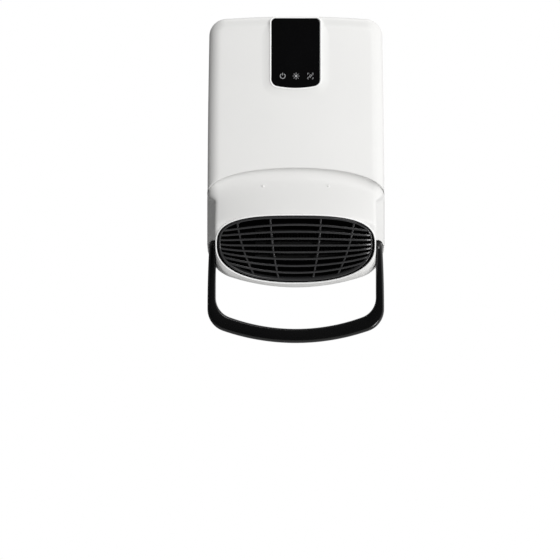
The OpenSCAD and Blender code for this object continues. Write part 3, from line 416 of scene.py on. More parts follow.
@dataclass(frozen=True)
class Metal:
    """A plated or bare metal: drawn lines along one axis over a patchy plating."""

    name: str
    colour: Colour
    second: Colour
    roughness: float = 0.35
    lines: Triple = (1.0, 14.0, 14.0)
    line_scale: float = 160.0
    patch_scale: float = 220.0
    metallic: float = 1.0
    dull_scale: float = 35.0
    tone_span: Flat = (0.2, 0.65)
    line_spread: float = 0.25
    dull_spread: float = 0.15
    line_depth: float = 0.000012
    line_strength: float = 0.7

    def build(self) -> bpy.types.Material:
        """Returns the material."""
        tree = FinishTree(self.name)
        drawn = tree.noise(self.line_scale, 3.0, ROUGH_NOISE, tree.moved(scale=self.lines))
        distance = tree.cells(self.patch_scale)
        dull = tree.noise(self.dull_scale, 3.0)
        tone = (distance * 0.5 + dull * 0.5).step(*self.tone_span)
        return tree.surface(
            Base_Color=tree.mixed(tone, self.colour, self.second),
            Metallic=self.metallic,
            Roughness=(drawn - 0.5) * self.line_spread + (dull - 0.5) * self.dull_spread + self.roughness,
            Normal=tree.bump(drawn, self.line_depth, self.line_strength),
        )


@dataclass(frozen=True)
class Layered:
    """Thin layers side by side along one axis, with a dark line between them."""

    name: str
    colour: Colour
    gap: Colour
    pitch: float
    axis: int = 0
    turn: Triple = (0, 0, 0)
    share: float = 0.5
    metallic: float = 1.0
    roughness: float = 0.4
    depth: float = 0.0002
    softness: float = 0.15
    tint_scale: float = 90.0
    tint_span: Flat = (0.3, 0.8)
    wear: float = 0.72
    spread: float = 0.2
    strength: float = 0.8

    def build(self) -> bpy.types.Material:
        """Returns the material."""
        tree = FinishTree(self.name)
        where = tree.along(self.axis, tree.moved(self.turn))
        crest = where.fold(self.pitch).step(self.share - self.softness, self.share + self.softness)
        tint = tree.noise(self.tint_scale, 3.0)
        worn = tree.mixed(tint.step(*self.tint_span), self.colour, shaded(self.colour, self.wear))
        return tree.surface(
            Base_Color=tree.mixed(crest, self.gap, worn),
            Metallic=self.metallic,
            Roughness=tint * self.spread + self.roughness,
            Normal=tree.bump(crest, self.depth, self.strength),
        )


@dataclass(frozen=True)
class CircuitBoard:
    """Solder mask over copper tracks, with tinned pads."""

    name: str
    mask: Colour = (0.012, 0.11, 0.05)
    track: Colour = (0.03, 0.2, 0.08)
    pad: Colour = (0.55, 0.55, 0.5)
    roughness: float = 0.28
    spread: float = 0.15
    depth: float = 0.00003
    board_turn: Triple = (90, 0, 0)
    track_scale: float = 90.0
    track_w: float = 0.06
    track_cell: Flat = (0.9, 0.3)
    track_offset: float = 0.37
    pad_scale: float = 210.0
    pad_span: Flat = (0.16, 0.22)
    dye_scale: float = 60.0
    dyed: float = 0.7

    def build(self) -> bpy.types.Material:
        """Returns the material."""
        tree = FinishTree(self.name)
        brick = tree.node(
            "ShaderNodeTexBrick",
            {"offset": self.track_offset, "squash": 1.0},
            {
                "Vector": tree.moved(self.board_turn),
                "Scale": self.track_scale,
                "Mortar Size": self.track_w,
                "Brick Width": self.track_cell[0],
                "Row Height": self.track_cell[1],
                "Color1": (0.0, 0.0, 0.0),
                "Color2": (0.0, 0.0, 0.0),
                "Mortar": (1.0, 1.0, 1.0),
            },
        )
        tracks = Signal(tree, brick.outputs["Fac"])
        pads = 1 - tree.cells(self.pad_scale).step(*self.pad_span)
        dye = tree.noise(self.dye_scale, 3.0)
        green = tree.mixed(tracks, tree.mixed(dye, self.mask, shaded(self.mask, self.dyed)), self.track)
        return tree.surface(
            Base_Color=tree.mixed(pads, green, self.pad),
            Roughness=pads * self.spread + self.roughness,
            Normal=tree.bump(tracks + pads, self.depth),
        )


FINISHES: dict[Slot, Any] = {
    Slot.SHELL: Plastic("shell_white_plastic", (0.8, 0.797, 0.784), (0.785, 0.783, 0.771), 0.42, 0.07, specular=0.4),
    Slot.GRILLE: Plastic(
        "grille_black_plastic", (0.032, 0.032, 0.033), (0.026, 0.026, 0.027), 0.2, 0.04, 1500.0, 0.000002
    ),
    Slot.WINDOW: GlossPanel("window_black_gloss", (0.0016, 0.0016, 0.0018)),
    Slot.RAIL: Plastic(
        "rail_black_satin", (0.0022, 0.0022, 0.0024), (0.003, 0.003, 0.0032), 0.2, 0.05, 1600.0, 0.0000015
    ),
    Slot.DARK: Plastic("dark_plastic_grain", (0.01, 0.01, 0.011), (0.015, 0.015, 0.016), 0.5, 0.12),
    Slot.CREAM: Plastic("cream_plastic_grain", (0.6, 0.53, 0.38), (0.54, 0.47, 0.33), 0.5, 0.12),
    Slot.AMBER: Plastic("amber_plastic_clear", (0.32, 0.035, 0.012), (0.24, 0.022, 0.01), 0.2, 0.05, coat=0.6),
    Slot.RELAY: Plastic("relay_blue_plastic", (0.035, 0.12, 0.36), (0.03, 0.1, 0.3), 0.35, 0.1),
    Slot.ZINC: Metal("zinc_plated_steel", (0.62, 0.63, 0.65), (0.48, 0.49, 0.5)),
    Slot.LAMINATION: Layered("stacked_steel_sheets", (0.34, 0.34, 0.35), (0.06, 0.05, 0.05), 0.0005),
    # The aluminium heater fins are painted near black: painted shade, so that the grille's gaps read dark.
    Slot.HEATER: Layered(
        "heater_fins_painted_shade", (0.006, 0.006, 0.006), (0.001, 0.001, 0.001), 0.0016, metallic=0.2, depth=0.0008
    ),
    Slot.BRASS: Metal("sintered_bronze", (0.52, 0.36, 0.16), (0.38, 0.25, 0.11), 0.5, (6.0, 6.0, 6.0), 900.0, 900.0),
    Slot.RUBBER: Plastic("black_rubber", (0.016, 0.016, 0.017), (0.026, 0.025, 0.025), 0.8, 0.2, 900.0, 0.00002),
    Slot.COPPER: Layered("wound_copper", (0.62, 0.24, 0.09), (0.12, 0.03, 0.01), 0.0005, share=0.3, roughness=0.25),
    Slot.BOARD: CircuitBoard("circuit_board"),
}
# A whiter white for the fine rims round the display and the outlet: painted highlight, for the light that their rounded
# edges catch.
HIGHLIGHT_TRIM_WHITE = Plastic("painted_highlight_white", (0.93, 0.93, 0.925), (0.92, 0.92, 0.915), 0.3, 0.05)
# Near black for the duct behind the grille: painted shade, so that the grille's gaps read dark.
DUCT_SHADE_BLACK = Plastic("duct_painted_shade", (0.002, 0.002, 0.002), (0.0015, 0.0015, 0.0015), 0.8, specular=0.1)
MARK_INK = PrintedInk("touch_mark_ink", (0.36, 0.36, 0.37))


# ---------------------------------------------------------------- meshes


def joined(bm: BMesh) -> BMesh:
    """Merges a mesh's doubles and returns it."""
    bmesh.ops.remove_doubles(bm, verts=bm.verts[:], dist=SAME_PLACE)
    return bm


def faced(bm: BMesh) -> BMesh:
    """Makes a closed mesh's faces look outwards and returns it."""
    bmesh.ops.recalc_face_normals(bm, faces=bm.faces[:])
    return bm


def fresh_verts(made: dict[str, Any]) -> set[BMVert]:
    """Returns the vertices that an extrusion made."""
    return {item for item in made["geom"] if isinstance(item, BMVert)}


def follower(vert: BMVert, fresh: set[BMVert]) -> BMVert:
    """Returns the fresh vertex that a vertex was extruded to."""
    return next(e.other_vert(vert) for e in vert.link_edges if e.other_vert(vert) in fresh)


class Skin:
    """A smooth skin that grows ring by ring out of one circle of vertices."""

    def __init__(self, points: Sequence[Vector]) -> None:
        """Starts with a ring through the points."""
        self.bm: BMesh = bmesh.new()
        made = bmesh.ops.create_circle(self.bm, cap_ends=False, radius=1.0, segments=len(points))
        self.first: list[BMVert] = list(made["verts"])
        self.ring = self.first
        self._put(points)

    def _put(self, points: Sequence[Vector]) -> None:
        """Moves the newest ring to the points."""
        for vert, point in zip(self.ring, points):
            vert.co = point

    def _edges(self, ring: list[BMVert]) -> list[BMEdge]:
        """Returns the edges of a ring."""
        return [self.bm.edges.get(pair) for pair in zip(ring, ring[1:] + ring[:1])]

    def grow(self, points: Sequence[Vector]) -> None:
        """Extrudes the newest ring to the points."""
        fresh = fresh_verts(bmesh.ops.extrude_edge_only(self.bm, edges=self._edges(self.ring)))
        self.ring = [follower(vert, fresh) for vert in self.ring]
        self._put(points)

    def cap(self) -> None:
        """Closes the newest ring and the first one with a face each."""
        for ring in (self.ring, self.first):
            bmesh.ops.contextual_create(self.bm, geom=self._edges(ring))


def skin_through(rings: Sequence[Ring], capped: bool = False) -> BMesh:
    """Returns a skin through all the rings, in order, with both its ends closed if it is capped."""
    skin = Skin(rings[0])
    for ring in rings[1:]:
        skin.grow(ring)
    if capped:
        skin.cap()
    return joined(skin.bm)


def closed_solid(rings: Sequence[Ring]) -> BMesh:
    """Returns a solid through the rings, capped at both ends."""
    return faced(skin_through(rings, capped=True))


def hoop(rings: Sequence[Ring]) -> BMesh:
    """Returns a solid whose rings lead back to the first one."""
    return faced(skin_through([*rings, rings[0]]))


def spun(section: Sequence[Vector], centre: Vector, axis: Vector, steps: int) -> BMesh:
    """Returns a solid made by spinning a line of points.

    Args:
        section: The points, which start on the axis.
        centre: A point of the axis.
        axis: The axis's direction.
        steps: Steps round the turn.

    Returns:
        The solid, closed by a face at the line's other end.
    """
    bm = bmesh.new()
    verts = [bm.verts.new(point) for point in section]
    edges = [bm.edges.new(pair) for pair in zip(verts, verts[1:])]
    bmesh.ops.spin(bm, geom=verts + edges, cent=centre, axis=axis, angle=TURN, steps=steps, use_merge=True)
    joined(bm)
    bmesh.ops.contextual_create(bm, geom=[edge for edge in bm.edges if edge.is_boundary])
    return faced(bm)


def turned_outwards(bm: BMesh, inside: Vector) -> BMesh:
    """Makes every face of an open skin look away from a point inside it, in metres, and returns the skin."""
    faced(bm)
    outward = sum(f.calc_area() * f.normal.dot(f.calc_center_median() - inside) for f in bm.faces)
    if outward < 0:
        bmesh.ops.reverse_faces(bm, faces=bm.faces[:])
    return bm


def in_scene(name: str, data: bpy.types.ID) -> bpy.types.Object:
    """Returns a new object of the scene, with the data given."""
    item = bpy.data.objects.new(name, data)
    bpy.context.scene.collection.objects.link(item)
    return item


class Workshop:
    """Turns meshes into pieces with a finish, and sets them on their bodies."""

    def __init__(self, frame: dict[str, Any]) -> None:
        """Prepares every slot's finish."""
        self.nodes: dict[str, bpy.types.Object] = frame["nodes"]
        self.finishes = {slot: finish.build() for slot, finish in FINISHES.items()}
        # The whiter finish of the fine rims paints their highlight.
        self.trim = HIGHLIGHT_TRIM_WHITE.build()

    def piece(
        self,
        name: str,
        bm: BMesh,
        slot: Slot,
        body: Body = Body.FIXED,
        replaces: Sequence[str] = (),
        finish: bpy.types.Material | None = None,
    ) -> bpy.types.Object:
        """Makes one piece.

        Args:
            name: The piece's name.
            bm: Its finished mesh, which is freed.
            slot: The record's slot that it takes its finish from.
            body: The body that it rides on.
            replaces: The CAD nodes that it stands for.
            finish: A finish of its own, where it isn't the slot's.

        Returns:
            The new object.
        """
        mesh = bpy.data.meshes.new(name)
        bm.to_mesh(mesh)
        bm.free()
        mesh.polygons.foreach_set("use_smooth", [True] * len(mesh.polygons))
        mesh.set_sharp_from_angle(angle=SHARP_FROM)
        mesh.materials.append(finish or self.finishes[slot])
        piece = in_scene(name, mesh)
        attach(piece, body.value)
        if replaces:
            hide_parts(*replaces)
        LOG.info("%s: %d faces on %s", name, len(mesh.polygons), body.value)
        return piece

    def softened(self, name: str, node: str, slot: Slot, width: float, body: Body = Body.FIXED) -> bpy.types.Object:
        """Replaces a CAD node by a copy with its outlines' edges rounded by width, in millimetres."""
        bm = bmesh.new()
        bm.from_mesh(self.nodes[node].data)
        joined(bm)
        weight = bm.edges.layers.float.new("bevel_weight_edge")
        for edge in self._outline_edges(bm):
            edge[weight] = 1.0
        piece = self.piece(name, bm, slot, body, [node])
        self._flatten_planes(piece.data)
        self._round_edges(piece, width)
        return piece

    @staticmethod
    def _flatten_planes(mesh: bpy.types.Mesh, share: float = 0.015, shift: float = 2e-5) -> None:
        """Shades the faces of each large plane flat, so that thin triangles leave no creases there."""
        planes: dict[tuple[float, ...], list[bpy.types.MeshPolygon]] = {}
        for face in mesh.polygons:
            key = (*(round(c, 2) for c in face.normal), round(face.center.dot(face.normal) + shift, 4))
            planes.setdefault(key, []).append(face)
        total = sum(face.area for face in mesh.polygons)
        for faces in planes.values():
            if sum(face.area for face in faces) > share * total:
                for face in faces:
                    face.use_smooth = False

    @staticmethod
    def _outline_edges(bm: BMesh) -> list[BMEdge]:
        """Returns the edges of a solid's outlines: at each depth the widest closed run of its sharp edges."""
        at_depth: dict[float, list[BMEdge]] = {}
        for edge in bm.edges:
            a, b = (vert.co.y for vert in edge.verts)
            if edge.calc_face_angle(0.0) > OUTLINE_FROM and abs(a - b) < SAME_DEPTH:
                at_depth.setdefault(round(a, 5), []).append(edge)
        width = max(vert.co.x for vert in bm.verts) - min(vert.co.x for vert in bm.verts)
        found = []
        for edges in at_depth.values():
            left = set(edges)
            runs = []
            while left:
                run, reach = [], [left.pop()]
                while reach:
                    edge = reach.pop()
                    run.append(edge)
                    near = {other for vert in edge.verts for other in vert.link_edges if other in left}
                    left -= near
                    reach += near
                xs = [vert.co.x for edge in run for vert in edge.verts]
                runs.append((max(xs) - min(xs), run))
            reach, run = max(runs, key=lambda item: item[0])
            if reach > OUTLINE_SHARE * width:
                found += run
        return found

    @staticmethod
    def _round_edges(piece: bpy.types.Object, width: float) -> None:
        """Rounds a piece's marked edges by width, in millimetres."""
        bevel = piece.modifiers.new("rounded_edges", "BEVEL")
        bevel.width = width * MM
        bevel.segments = 3
        bevel.limit_method = "WEIGHT"
        bevel.use_clamp_overlap = False
        even = piece.modifiers.new("even_normals", "WEIGHTED_NORMAL")
        even.keep_sharp = True

    @staticmethod
    def thicken(piece: bpy.types.Object, wall: float, share: Callable[[float, float], float] | None = None) -> None:
        """Gives a skin a wall behind it.

        Args:
            piece: The skin's piece.
            wall: The wall's thickness, in millimetres.
            share: Gives the share of it that is kept at x and a height, where the wall thins out.
        """
        solid = piece.modifiers.new("wall", "SOLIDIFY")
        solid.thickness = wall * MM
        solid.offset = -1.0
        solid.use_even_offset = False
        solid.use_rim = True
        if share:
            group = piece.vertex_groups.new(name="wall")
            for vert in piece.data.vertices:
                kept = share(vert.co.x / MM, vert.co.z / MM + MOUNT_HEIGHT)
                group.add([vert.index], kept, "REPLACE")
            solid.vertex_group = group.name
            solid.thickness_vertex_group = LEAST_WALL

    def dress(self, name: str, slot: Slot) -> None:
        """Gives a CAD node that stays its slot's finish."""
        materials = self.nodes[name].data.materials
        materials.clear()
        materials.append(self.finishes[slot])
        LOG.info("%s: finished as %s", name, slot.value)


# ---------------------------------------------------------------- the body's form


@dataclass(frozen=True)
class Rim:
    """One place on an outline: where it is, and which way it faces."""

    x: float
    h: float
    nx: float
    nh: float
    below_step: bool = False
    most_x: float = math.inf

    def inset(self, by: float) -> Flat:
        """Returns the place moved in from the outline."""
        return self.x - by * self.nx, self.h - by * self.nh


def low_outline(half_w: float, corner: float, arc_r: float, low: float, corner_steps: int, arc_steps: int) -> list[Rim]:
    """Returns half of a bowed bottom with a round corner, from the side round to the lowest point.

    Args:
        half_w: Half the outline's width.
        corner: The corner's radius.
        arc_r: The bottom's radius.
        low: The lowest point's height.
        corner_steps: Steps round the corner.
        arc_steps: Steps along the bottom.

    Returns:
        The places of the outline.
    """
    lean = math.asin((half_w - corner) / (arc_r - corner))
    centre_h = low + arc_r - (arc_r - corner) * math.cos(lean)
    rims = []
    for i in range(corner_steps + 1):
        a = (lean - QUARTER) * i / corner_steps
        c, s = math.cos(a), math.sin(a)
        rims.append(Rim(half_w - corner + corner * c, centre_h + corner * s, c, s))
    for i in range(1, arc_steps + 1):
        a = -QUARTER + lean * (1 - i / arc_steps)
        c, s = math.cos(a), math.sin(a)
        rims.append(Rim(arc_r * c if i < arc_steps else 0.0, low + arc_r + arc_r * s, c, s))
    return rims


@dataclass(frozen=True)
class BodyForm:
    """The heater's outline and the depth of its two covers."""

    half_w: float = 120.0
    height: float = 364.0
    narrowing: float = 3.7
    top_corner: float = 23.0
    low_corner: float = 45.0
    top_arc: float = 1430.0
    low_arc: float = 288.0
    split: float = 42.0
    face_top: float = 80.0
    face_arch: float = 96.0
    crown: float = 4.0
    edge: float = 16.5
    arch: float = 159.0
    arch_drop: float = 38.5
    arch_power: float = 2.2
    step: float = 10.4
    cove: float = 5.2
    cove_h: float = 20.0
    nose: float = 120.0
    draft: float = 12.6
    fillet: float = 5.0
    lip: float = 9.0
    brow: float = 96.0
    nose_crown: float = 6.0
    brow_soft: float = 5.0
    swell_end: float = 1.3
    arch_ends: Flat = (0.5, 0.05)
    probe: float = 0.01
    lean: float = math.radians(23.7)
    shoulder_h: float = 114.5
    shoulder: float = 8.0
    shoulder_upright: float = 0.74
    shoulder_round: float = 8.0

    @property
    def corner_x(self) -> float:
        """Returns the top corner's centre, across."""
        return self.half_w - self.narrowing - self.top_corner

    @property
    def corner_lean(self) -> float:
        """Returns the angle at which the top arc meets its corner."""
        return math.asin(self.corner_x / (self.top_arc - self.top_corner))

    @property
    def corner_h(self) -> float:
        """Returns the top corner's centre, up."""
        return self.height - self.top_arc + (self.top_arc - self.top_corner) * math.cos(self.corner_lean)

    @property
    def foot_h(self) -> float:
        """Returns the height where the bottom corners meet the sides."""
        return low_outline(self.half_w, self.low_corner, self.low_arc, 0.0, 1, 1)[0].h

    @property
    def side_lean(self) -> float:
        """Returns the lean of the side where it meets the top corner."""
        return math.atan(2 * self.narrowing / (self.corner_h - self.foot_h))

    @property
    def face_slope(self) -> float:
        """Returns how much deeper the front cover gets for each millimetre down."""
        return (self.face_arch - self.face_top) / (self.height - self.arch)

    def side(self, h: float) -> float:
        """Returns half the width at a height."""
        return self.half_w - self.narrowing * (max(0.0, h - self.foot_h) / (self.corner_h - self.foot_h)) ** 2

    def arch_at(self, x: float) -> float:
        """Returns the height of the arch's line at x."""
        bow = max(0.0, 1 - min(1.0, abs(x) / self.half_w) ** self.arch_power)
        return self.arch - self.arch_drop * (1 - bow ** (1 / self.arch_power))

    def arch_normal(self, x: float) -> Flat:
        """Returns the direction, in x and height, that faces down from the arch's line."""
        a = held(abs(x), self.arch_ends[0], self.half_w - self.arch_ends[1])
        slope = (self.arch_at(a + self.probe) - self.arch_at(a - self.probe)) / (2 * self.probe)
        long = math.hypot(slope, 1.0)
        return math.copysign(1.0, x) * slope / long, -1 / long

    def face(self, x: float, h: float) -> float:
        """Returns the front cover's depth."""
        return self.face_top + self.face_slope * (self.height - h) - self.crown * (x / self.half_w) ** 2

    def outlet(self, h: float) -> float:
        """Returns the depth of the plane that the grille lies in."""
        return self.nose - (self.brow - h) * math.tan(self.lean)

    def nose_face(self, x: float, h: float) -> float:
        """Returns the lower cover's depth."""
        arch = self.arch_at(x)
        start = self.face(x, max(arch, h)) - self.step
        s = max(0.0, (arch - h) / (self.arch - self.brow))
        reach = self.nose - self.face_arch + self.step
        swell = s * s * (2 - min(s, self.swell_end)) * reach
        upper = start + swell - (self.nose_crown - self.crown) * min(1.0, s) * (x / self.half_w) ** 2
        upper += self.cove * max(0.0, 1 - max(0.0, arch - h) / self.cove_h) ** 2
        plane = self.outlet(h)
        return min(upper, plane) - max(self.brow_soft - abs(upper - plane), 0.0) ** 2 / (4 * self.brow_soft)

    def near_arch(self, h: float) -> float:
        """Returns how far a height lies within the soft shoulder below the arch's ends, from 0 to 1."""
        return eased((h - self.shoulder_h) / self.shoulder)

    def nose_draft(self, h: float) -> float:
        """Returns how far the lower cover's side leans in at a height."""
        return self.draft * (1 - self.shoulder_upright * self.near_arch(h))

    def nose_round(self, h: float) -> float:
        """Returns the lower cover's upright edge's radius at a height."""
        return self.fillet + self.shoulder_round * self.near_arch(h)

    def arch_end(self, inset: float) -> float:
        """Returns the x at which the arch's line meets the side moved in by inset."""
        x = self.half_w - inset
        for _ in range(SETTLE_STEPS):
            x = self.side(self.arch_at(x)) - inset
        return x


def both_halves(half: Sequence[Vector]) -> Ring:
    """Returns a closed ring from its right half, whose first and last points lie on the middle."""
    return list(half) + [Vector((-p.x, p.y, p.z)) for p in reversed(half[1:-1])]


def inside_edge(radius: float, angle: float) -> float:
    """Returns how far in from an outline its rounding is at an angle round it."""
    return radius * (1 - math.cos(angle))


@dataclass
class FrontCover:
    """The tall upper shell: soft edges, and a lower edge that follows the arch with a return flange."""

    form: BodyForm
    wall: float = 2.5
    arch_round: float = 0.7
    gap: float = 0.2
    draft: float = 2.0
    draft_depth: float = 38.0
    fade: float = 5.0
    end_x: Flat = (60.0, 80.0)
    thinning: float = 0.42
    thinnest: float = 0.04
    wall_rows: tuple[float, ...] = (42.0, 47.0, 54.0, 60.0)
    top_steps: int = 14
    corner_steps: int = 16
    round_steps: int = 12
    arch_steps: int = 34
    face_steps: int = 16
    side_steps: int = 30
    spine: Flat = (218.0, 300.0)
    face_power: float = 1.25
    line_steps: tuple[int, int] = (24, 8)
    flange_rows: int = 5
    inside: Triple = (0.0, 40.0, 250.0)

    def _outer_rows(self) -> list[Row]:
        """Returns (angle round the edge, depth) for each ring outside the face; depth is None on the rounding."""
        walls = [(0.0, depth) for depth in self.wall_rows]
        return walls + [(QUARTER * i / self.round_steps, None) for i in range(self.round_steps + 1)]

    def _lean_in(self, row: Row, h: float) -> float:
        """Returns how far the side leans in on a ring: not at the top corner, most at the arch."""
        form = self.form
        share = 1.0 if row[1] is None else (row[1] - form.split) / self.draft_depth
        return self.draft * share * held((form.corner_h - h) / (form.corner_h - form.arch + form.arch_drop))

    def _edge_depth(self, x: float, h: float, row: Row) -> float:
        """Returns the depth of a point on a ring outside the face."""
        if row[1] is not None:
            return row[1]
        return self.form.face(x, h) - self.form.edge * (1 - math.sin(row[0]))

    def _arch_place(self, x: float) -> Flat:
        """Returns a place just above the arch's line, where the edge's small rounding starts."""
        return Rim(x, self.form.arch_at(x), *self.form.arch_normal(x)).inset(self._arch_radius(x))

    def _arch_radius(self, x: float) -> float:
        """Returns the small rounding's radius, which fades out where the shell thins to its end."""
        return self.arch_round * held((self.form.arch_end(0.0) - abs(x)) / self.fade)

    def _chain(self) -> list[tuple[float, float, float, float]]:
        """Returns (x, x moved, height, depth) along the lower edge, from the back of the side to the middle."""
        chain = []
        for row in self._outer_rows():
            lean = self._lean_in(row, self.form.arch - self.form.arch_drop)
            x = self.form.arch_end(inside_edge(self.form.edge, row[0]) + lean)
            px, ph = self._arch_place(x)
            chain.append((x, px, ph, self._edge_depth(px, ph, row)))
        last = chain[-1][0]
        for i in range(1, self.arch_steps + 1):
            x = last * (1 - i / self.arch_steps)
            px, ph = self._arch_place(x) if x > 0 else (0.0, self.form.arch + self.arch_round)
            chain.append((x, px, ph, self.form.face(px, ph)))
        return chain

    def _upper_half(self, row: Row, end_h: float) -> list[Flat]:
        """Returns the top, corner and side of the outline on one ring, down to end_h."""
        form = self.form
        inset = inside_edge(form.edge, row[0])
        half: list[Flat] = []
        r = form.top_arc - inset
        for i in range(self.top_steps):
            a = QUARTER - form.corner_lean * i / self.top_steps
            half.append((r * math.cos(a) if i else 0.0, form.height - form.top_arc + r * math.sin(a)))
        r = form.top_corner - inset
        for i in range(self.corner_steps + 1):
            a = blend(QUARTER - form.corner_lean, form.side_lean, i / self.corner_steps)
            half.append((form.corner_x + r * math.cos(a), form.corner_h + r * math.sin(a)))
        for i in range(1, self.side_steps):
            h = blend(form.corner_h, end_h, i / self.side_steps)
            half.append((form.side(h) - inset - self._lean_in(row, h), h))
        return half

    def rings(self) -> list[Ring]:
        """Returns the rings from the back edge round to the middle of the face."""
        chain = self._chain()
        rows = self._outer_rows()
        rings = []
        for r, row in enumerate(rows):
            upper = self._upper_half(row, chain[r][2])
            half = [place(x, self._edge_depth(x, h, row), h) for x, h in upper]
            half += [place(*(chain[max(j, r)][k] for k in (1, 3, 2))) for j in range(len(chain))]
            rings.append(both_halves(half))
        last = len(rows) - 1
        flat = self._upper_half(rows[last], chain[last][2])
        flat += [(chain[max(j, last)][1], chain[max(j, last)][2]) for j in range(len(chain))]
        low, high = self.spine
        for i in range(1, self.face_steps + 1):
            t = (i / self.face_steps) ** self.face_power
            half = []
            for x, h in flat:
                px, ph = x * (1 - t), blend(h, held(h, low, high), t)
                half.append(place(px, self.form.face(px, ph), ph))
            rings.append(both_halves(half))
        return rings

    def _flange_target(self, share: float, outer: Ring) -> Vector:
        """Returns the place on the lower cover's skin a share of the way along the side part of the edge."""
        lengths = lengths_along(outer)
        want = share * lengths[-1]
        for i in range(1, len(outer)):
            if lengths[i] >= want:
                span = max(lengths[i] - lengths[i - 1], TINY)
                return outer[i - 1].lerp(outer[i], (want - lengths[i - 1]) / span)
        return outer[-1]

    def _meeting_line(self) -> Ring:
        """Returns the line where the arch meets the lower cover's side and its fillet, back to front."""
        form = self.form
        line = []
        along, round_it = self.line_steps
        places = [(i / along, 0.0) for i in range(along + 1)]
        places += [(1.0, QUARTER / round_it * i) for i in range(1, round_it + 1)]
        for share, angle in places:
            h = form.arch
            for _ in range(SETTLE_STEPS):
                x = form.half_w - share * form.nose_draft(h) - inside_edge(form.nose_round(h), angle)
                h = blend(h, form.arch_at(x), 0.5)
            radius = form.nose_round(h)
            if angle:
                depth = form.nose_face(x, h) - radius * (1 - math.sin(angle))
            else:
                depth = blend(form.split, form.nose_face(form.half_w - form.nose_draft(h), h) - radius, share)
            side, out = self.gap * math.cos(angle), self.gap * math.sin(angle)
            line.append(place(min(x + side, form.arch_end(0.0)), depth + out, h))
        return line

    def _flange_rows(self) -> Callable[[int], Ring]:
        """Returns a function that gives the small rounding's and the flange's points behind a place of the edge."""
        chain = self._chain()
        rows = self._outer_rows()
        line = self._meeting_line()
        end_x = abs(line[-1].x) / MM
        side = [place(c[0], c[3], self.form.arch_at(c[0])) for c in chain if c[0] >= end_x]
        side.append(place(end_x, self.form.face(end_x, self.form.arch_at(end_x)), self.form.arch_at(end_x)))
        lengths = lengths_along(side)

        def rows_for(index: int) -> Ring:
            """Returns the points behind one place of the edge."""
            x, px, ph, depth = chain[index]
            nx, nh = self.form.arch_normal(x) if x > 0 else (0.0, -1.0)
            r = self._arch_radius(x)
            angle = rows[index][0] if index < len(rows) else QUARTER
            face = Vector((math.cos(angle), -math.sin(angle), 0.0))
            down = Vector((nx, 0.0, nh))
            start = place(px, depth, ph)
            turns = (math.pi / 6, math.pi / 3, QUARTER)
            points = [start + (down * math.sin(a) - face * (1 - math.cos(a))) * r * MM for a in turns]
            if index < len(lengths) - 1:
                target = self._flange_target(lengths[index] / lengths[-1], line)
            else:
                h = self.form.arch_at(x)
                target = place(x, self.form.nose_face(x, h) + self.gap, h)
            return points + [points[-1].lerp(target, 0.5), target]

        return rows_for

    def _add_flange(self, bm: BMesh) -> None:
        """Extrudes the arch's edge into its rounding and the return flange."""
        chain = self._chain()
        rows_for = self._flange_rows()
        tree = KDTree(len(chain))
        for i, (_, px, ph, depth) in enumerate(chain):
            tree.insert(place(px, depth, ph), i)
        tree.balance()

        def index_of(vert: BMVert) -> int | None:
            """Returns which place of the edge a vertex is, or nothing."""
            _, index, distance = tree.find(Vector((abs(vert.co.x), vert.co.y, vert.co.z)))
            return index if distance < NEAR else None

        edges = [e for e in bm.edges if e.is_boundary and all(index_of(v) is not None for v in e.verts)]
        back = -self.form.split * MM
        edges = [e for e in edges if not all(abs(v.co.y - back) < SAME_DEPTH for v in e.verts)]
        known = {v: (index_of(v), v.co.x) for e in edges for v in e.verts}
        for row in range(self.flange_rows):
            made = bmesh.ops.extrude_edge_only(bm, edges=edges)
            fresh = fresh_verts(made)
            follow = {}
            for vert, (index, side) in known.items():
                new = follower(vert, fresh)
                point = rows_for(index)[row]
                new.co = Vector((math.copysign(point.x, side) if side else point.x, point.y, point.z))
                follow[new] = (index, side)
            edges = [e for e in made["geom"] if isinstance(e, BMEdge) and all(v in fresh for v in e.verts)]
            known = follow

    def _wall_share(self, x: float, h: float) -> float:
        """Returns the share of the wall's thickness at a place: it thins where the shell runs out to its lower ends."""
        if h >= self.form.arch or abs(x) <= self.end_x[1]:
            return 1.0
        low = last_place(self.end_x[0], self.form.half_w, lambda at: self.form.arch_at(at) > h)
        return held(self.thinning * (self.form.side(h) - low) / self.wall, self.thinnest)

    def build(self, shop: Workshop) -> None:
        """Builds the cover and sets it on the body."""
        bm = skin_through(self.rings())
        self._add_flange(bm)
        turned_outwards(joined(bm), place(*self.inside))
        piece = shop.piece("front_shell", bm, Slot.SHELL, replaces=["front_cover"])
        shop.thicken(piece, self.wall, self._wall_share)


# ---------------------------------------------------------------- outlet


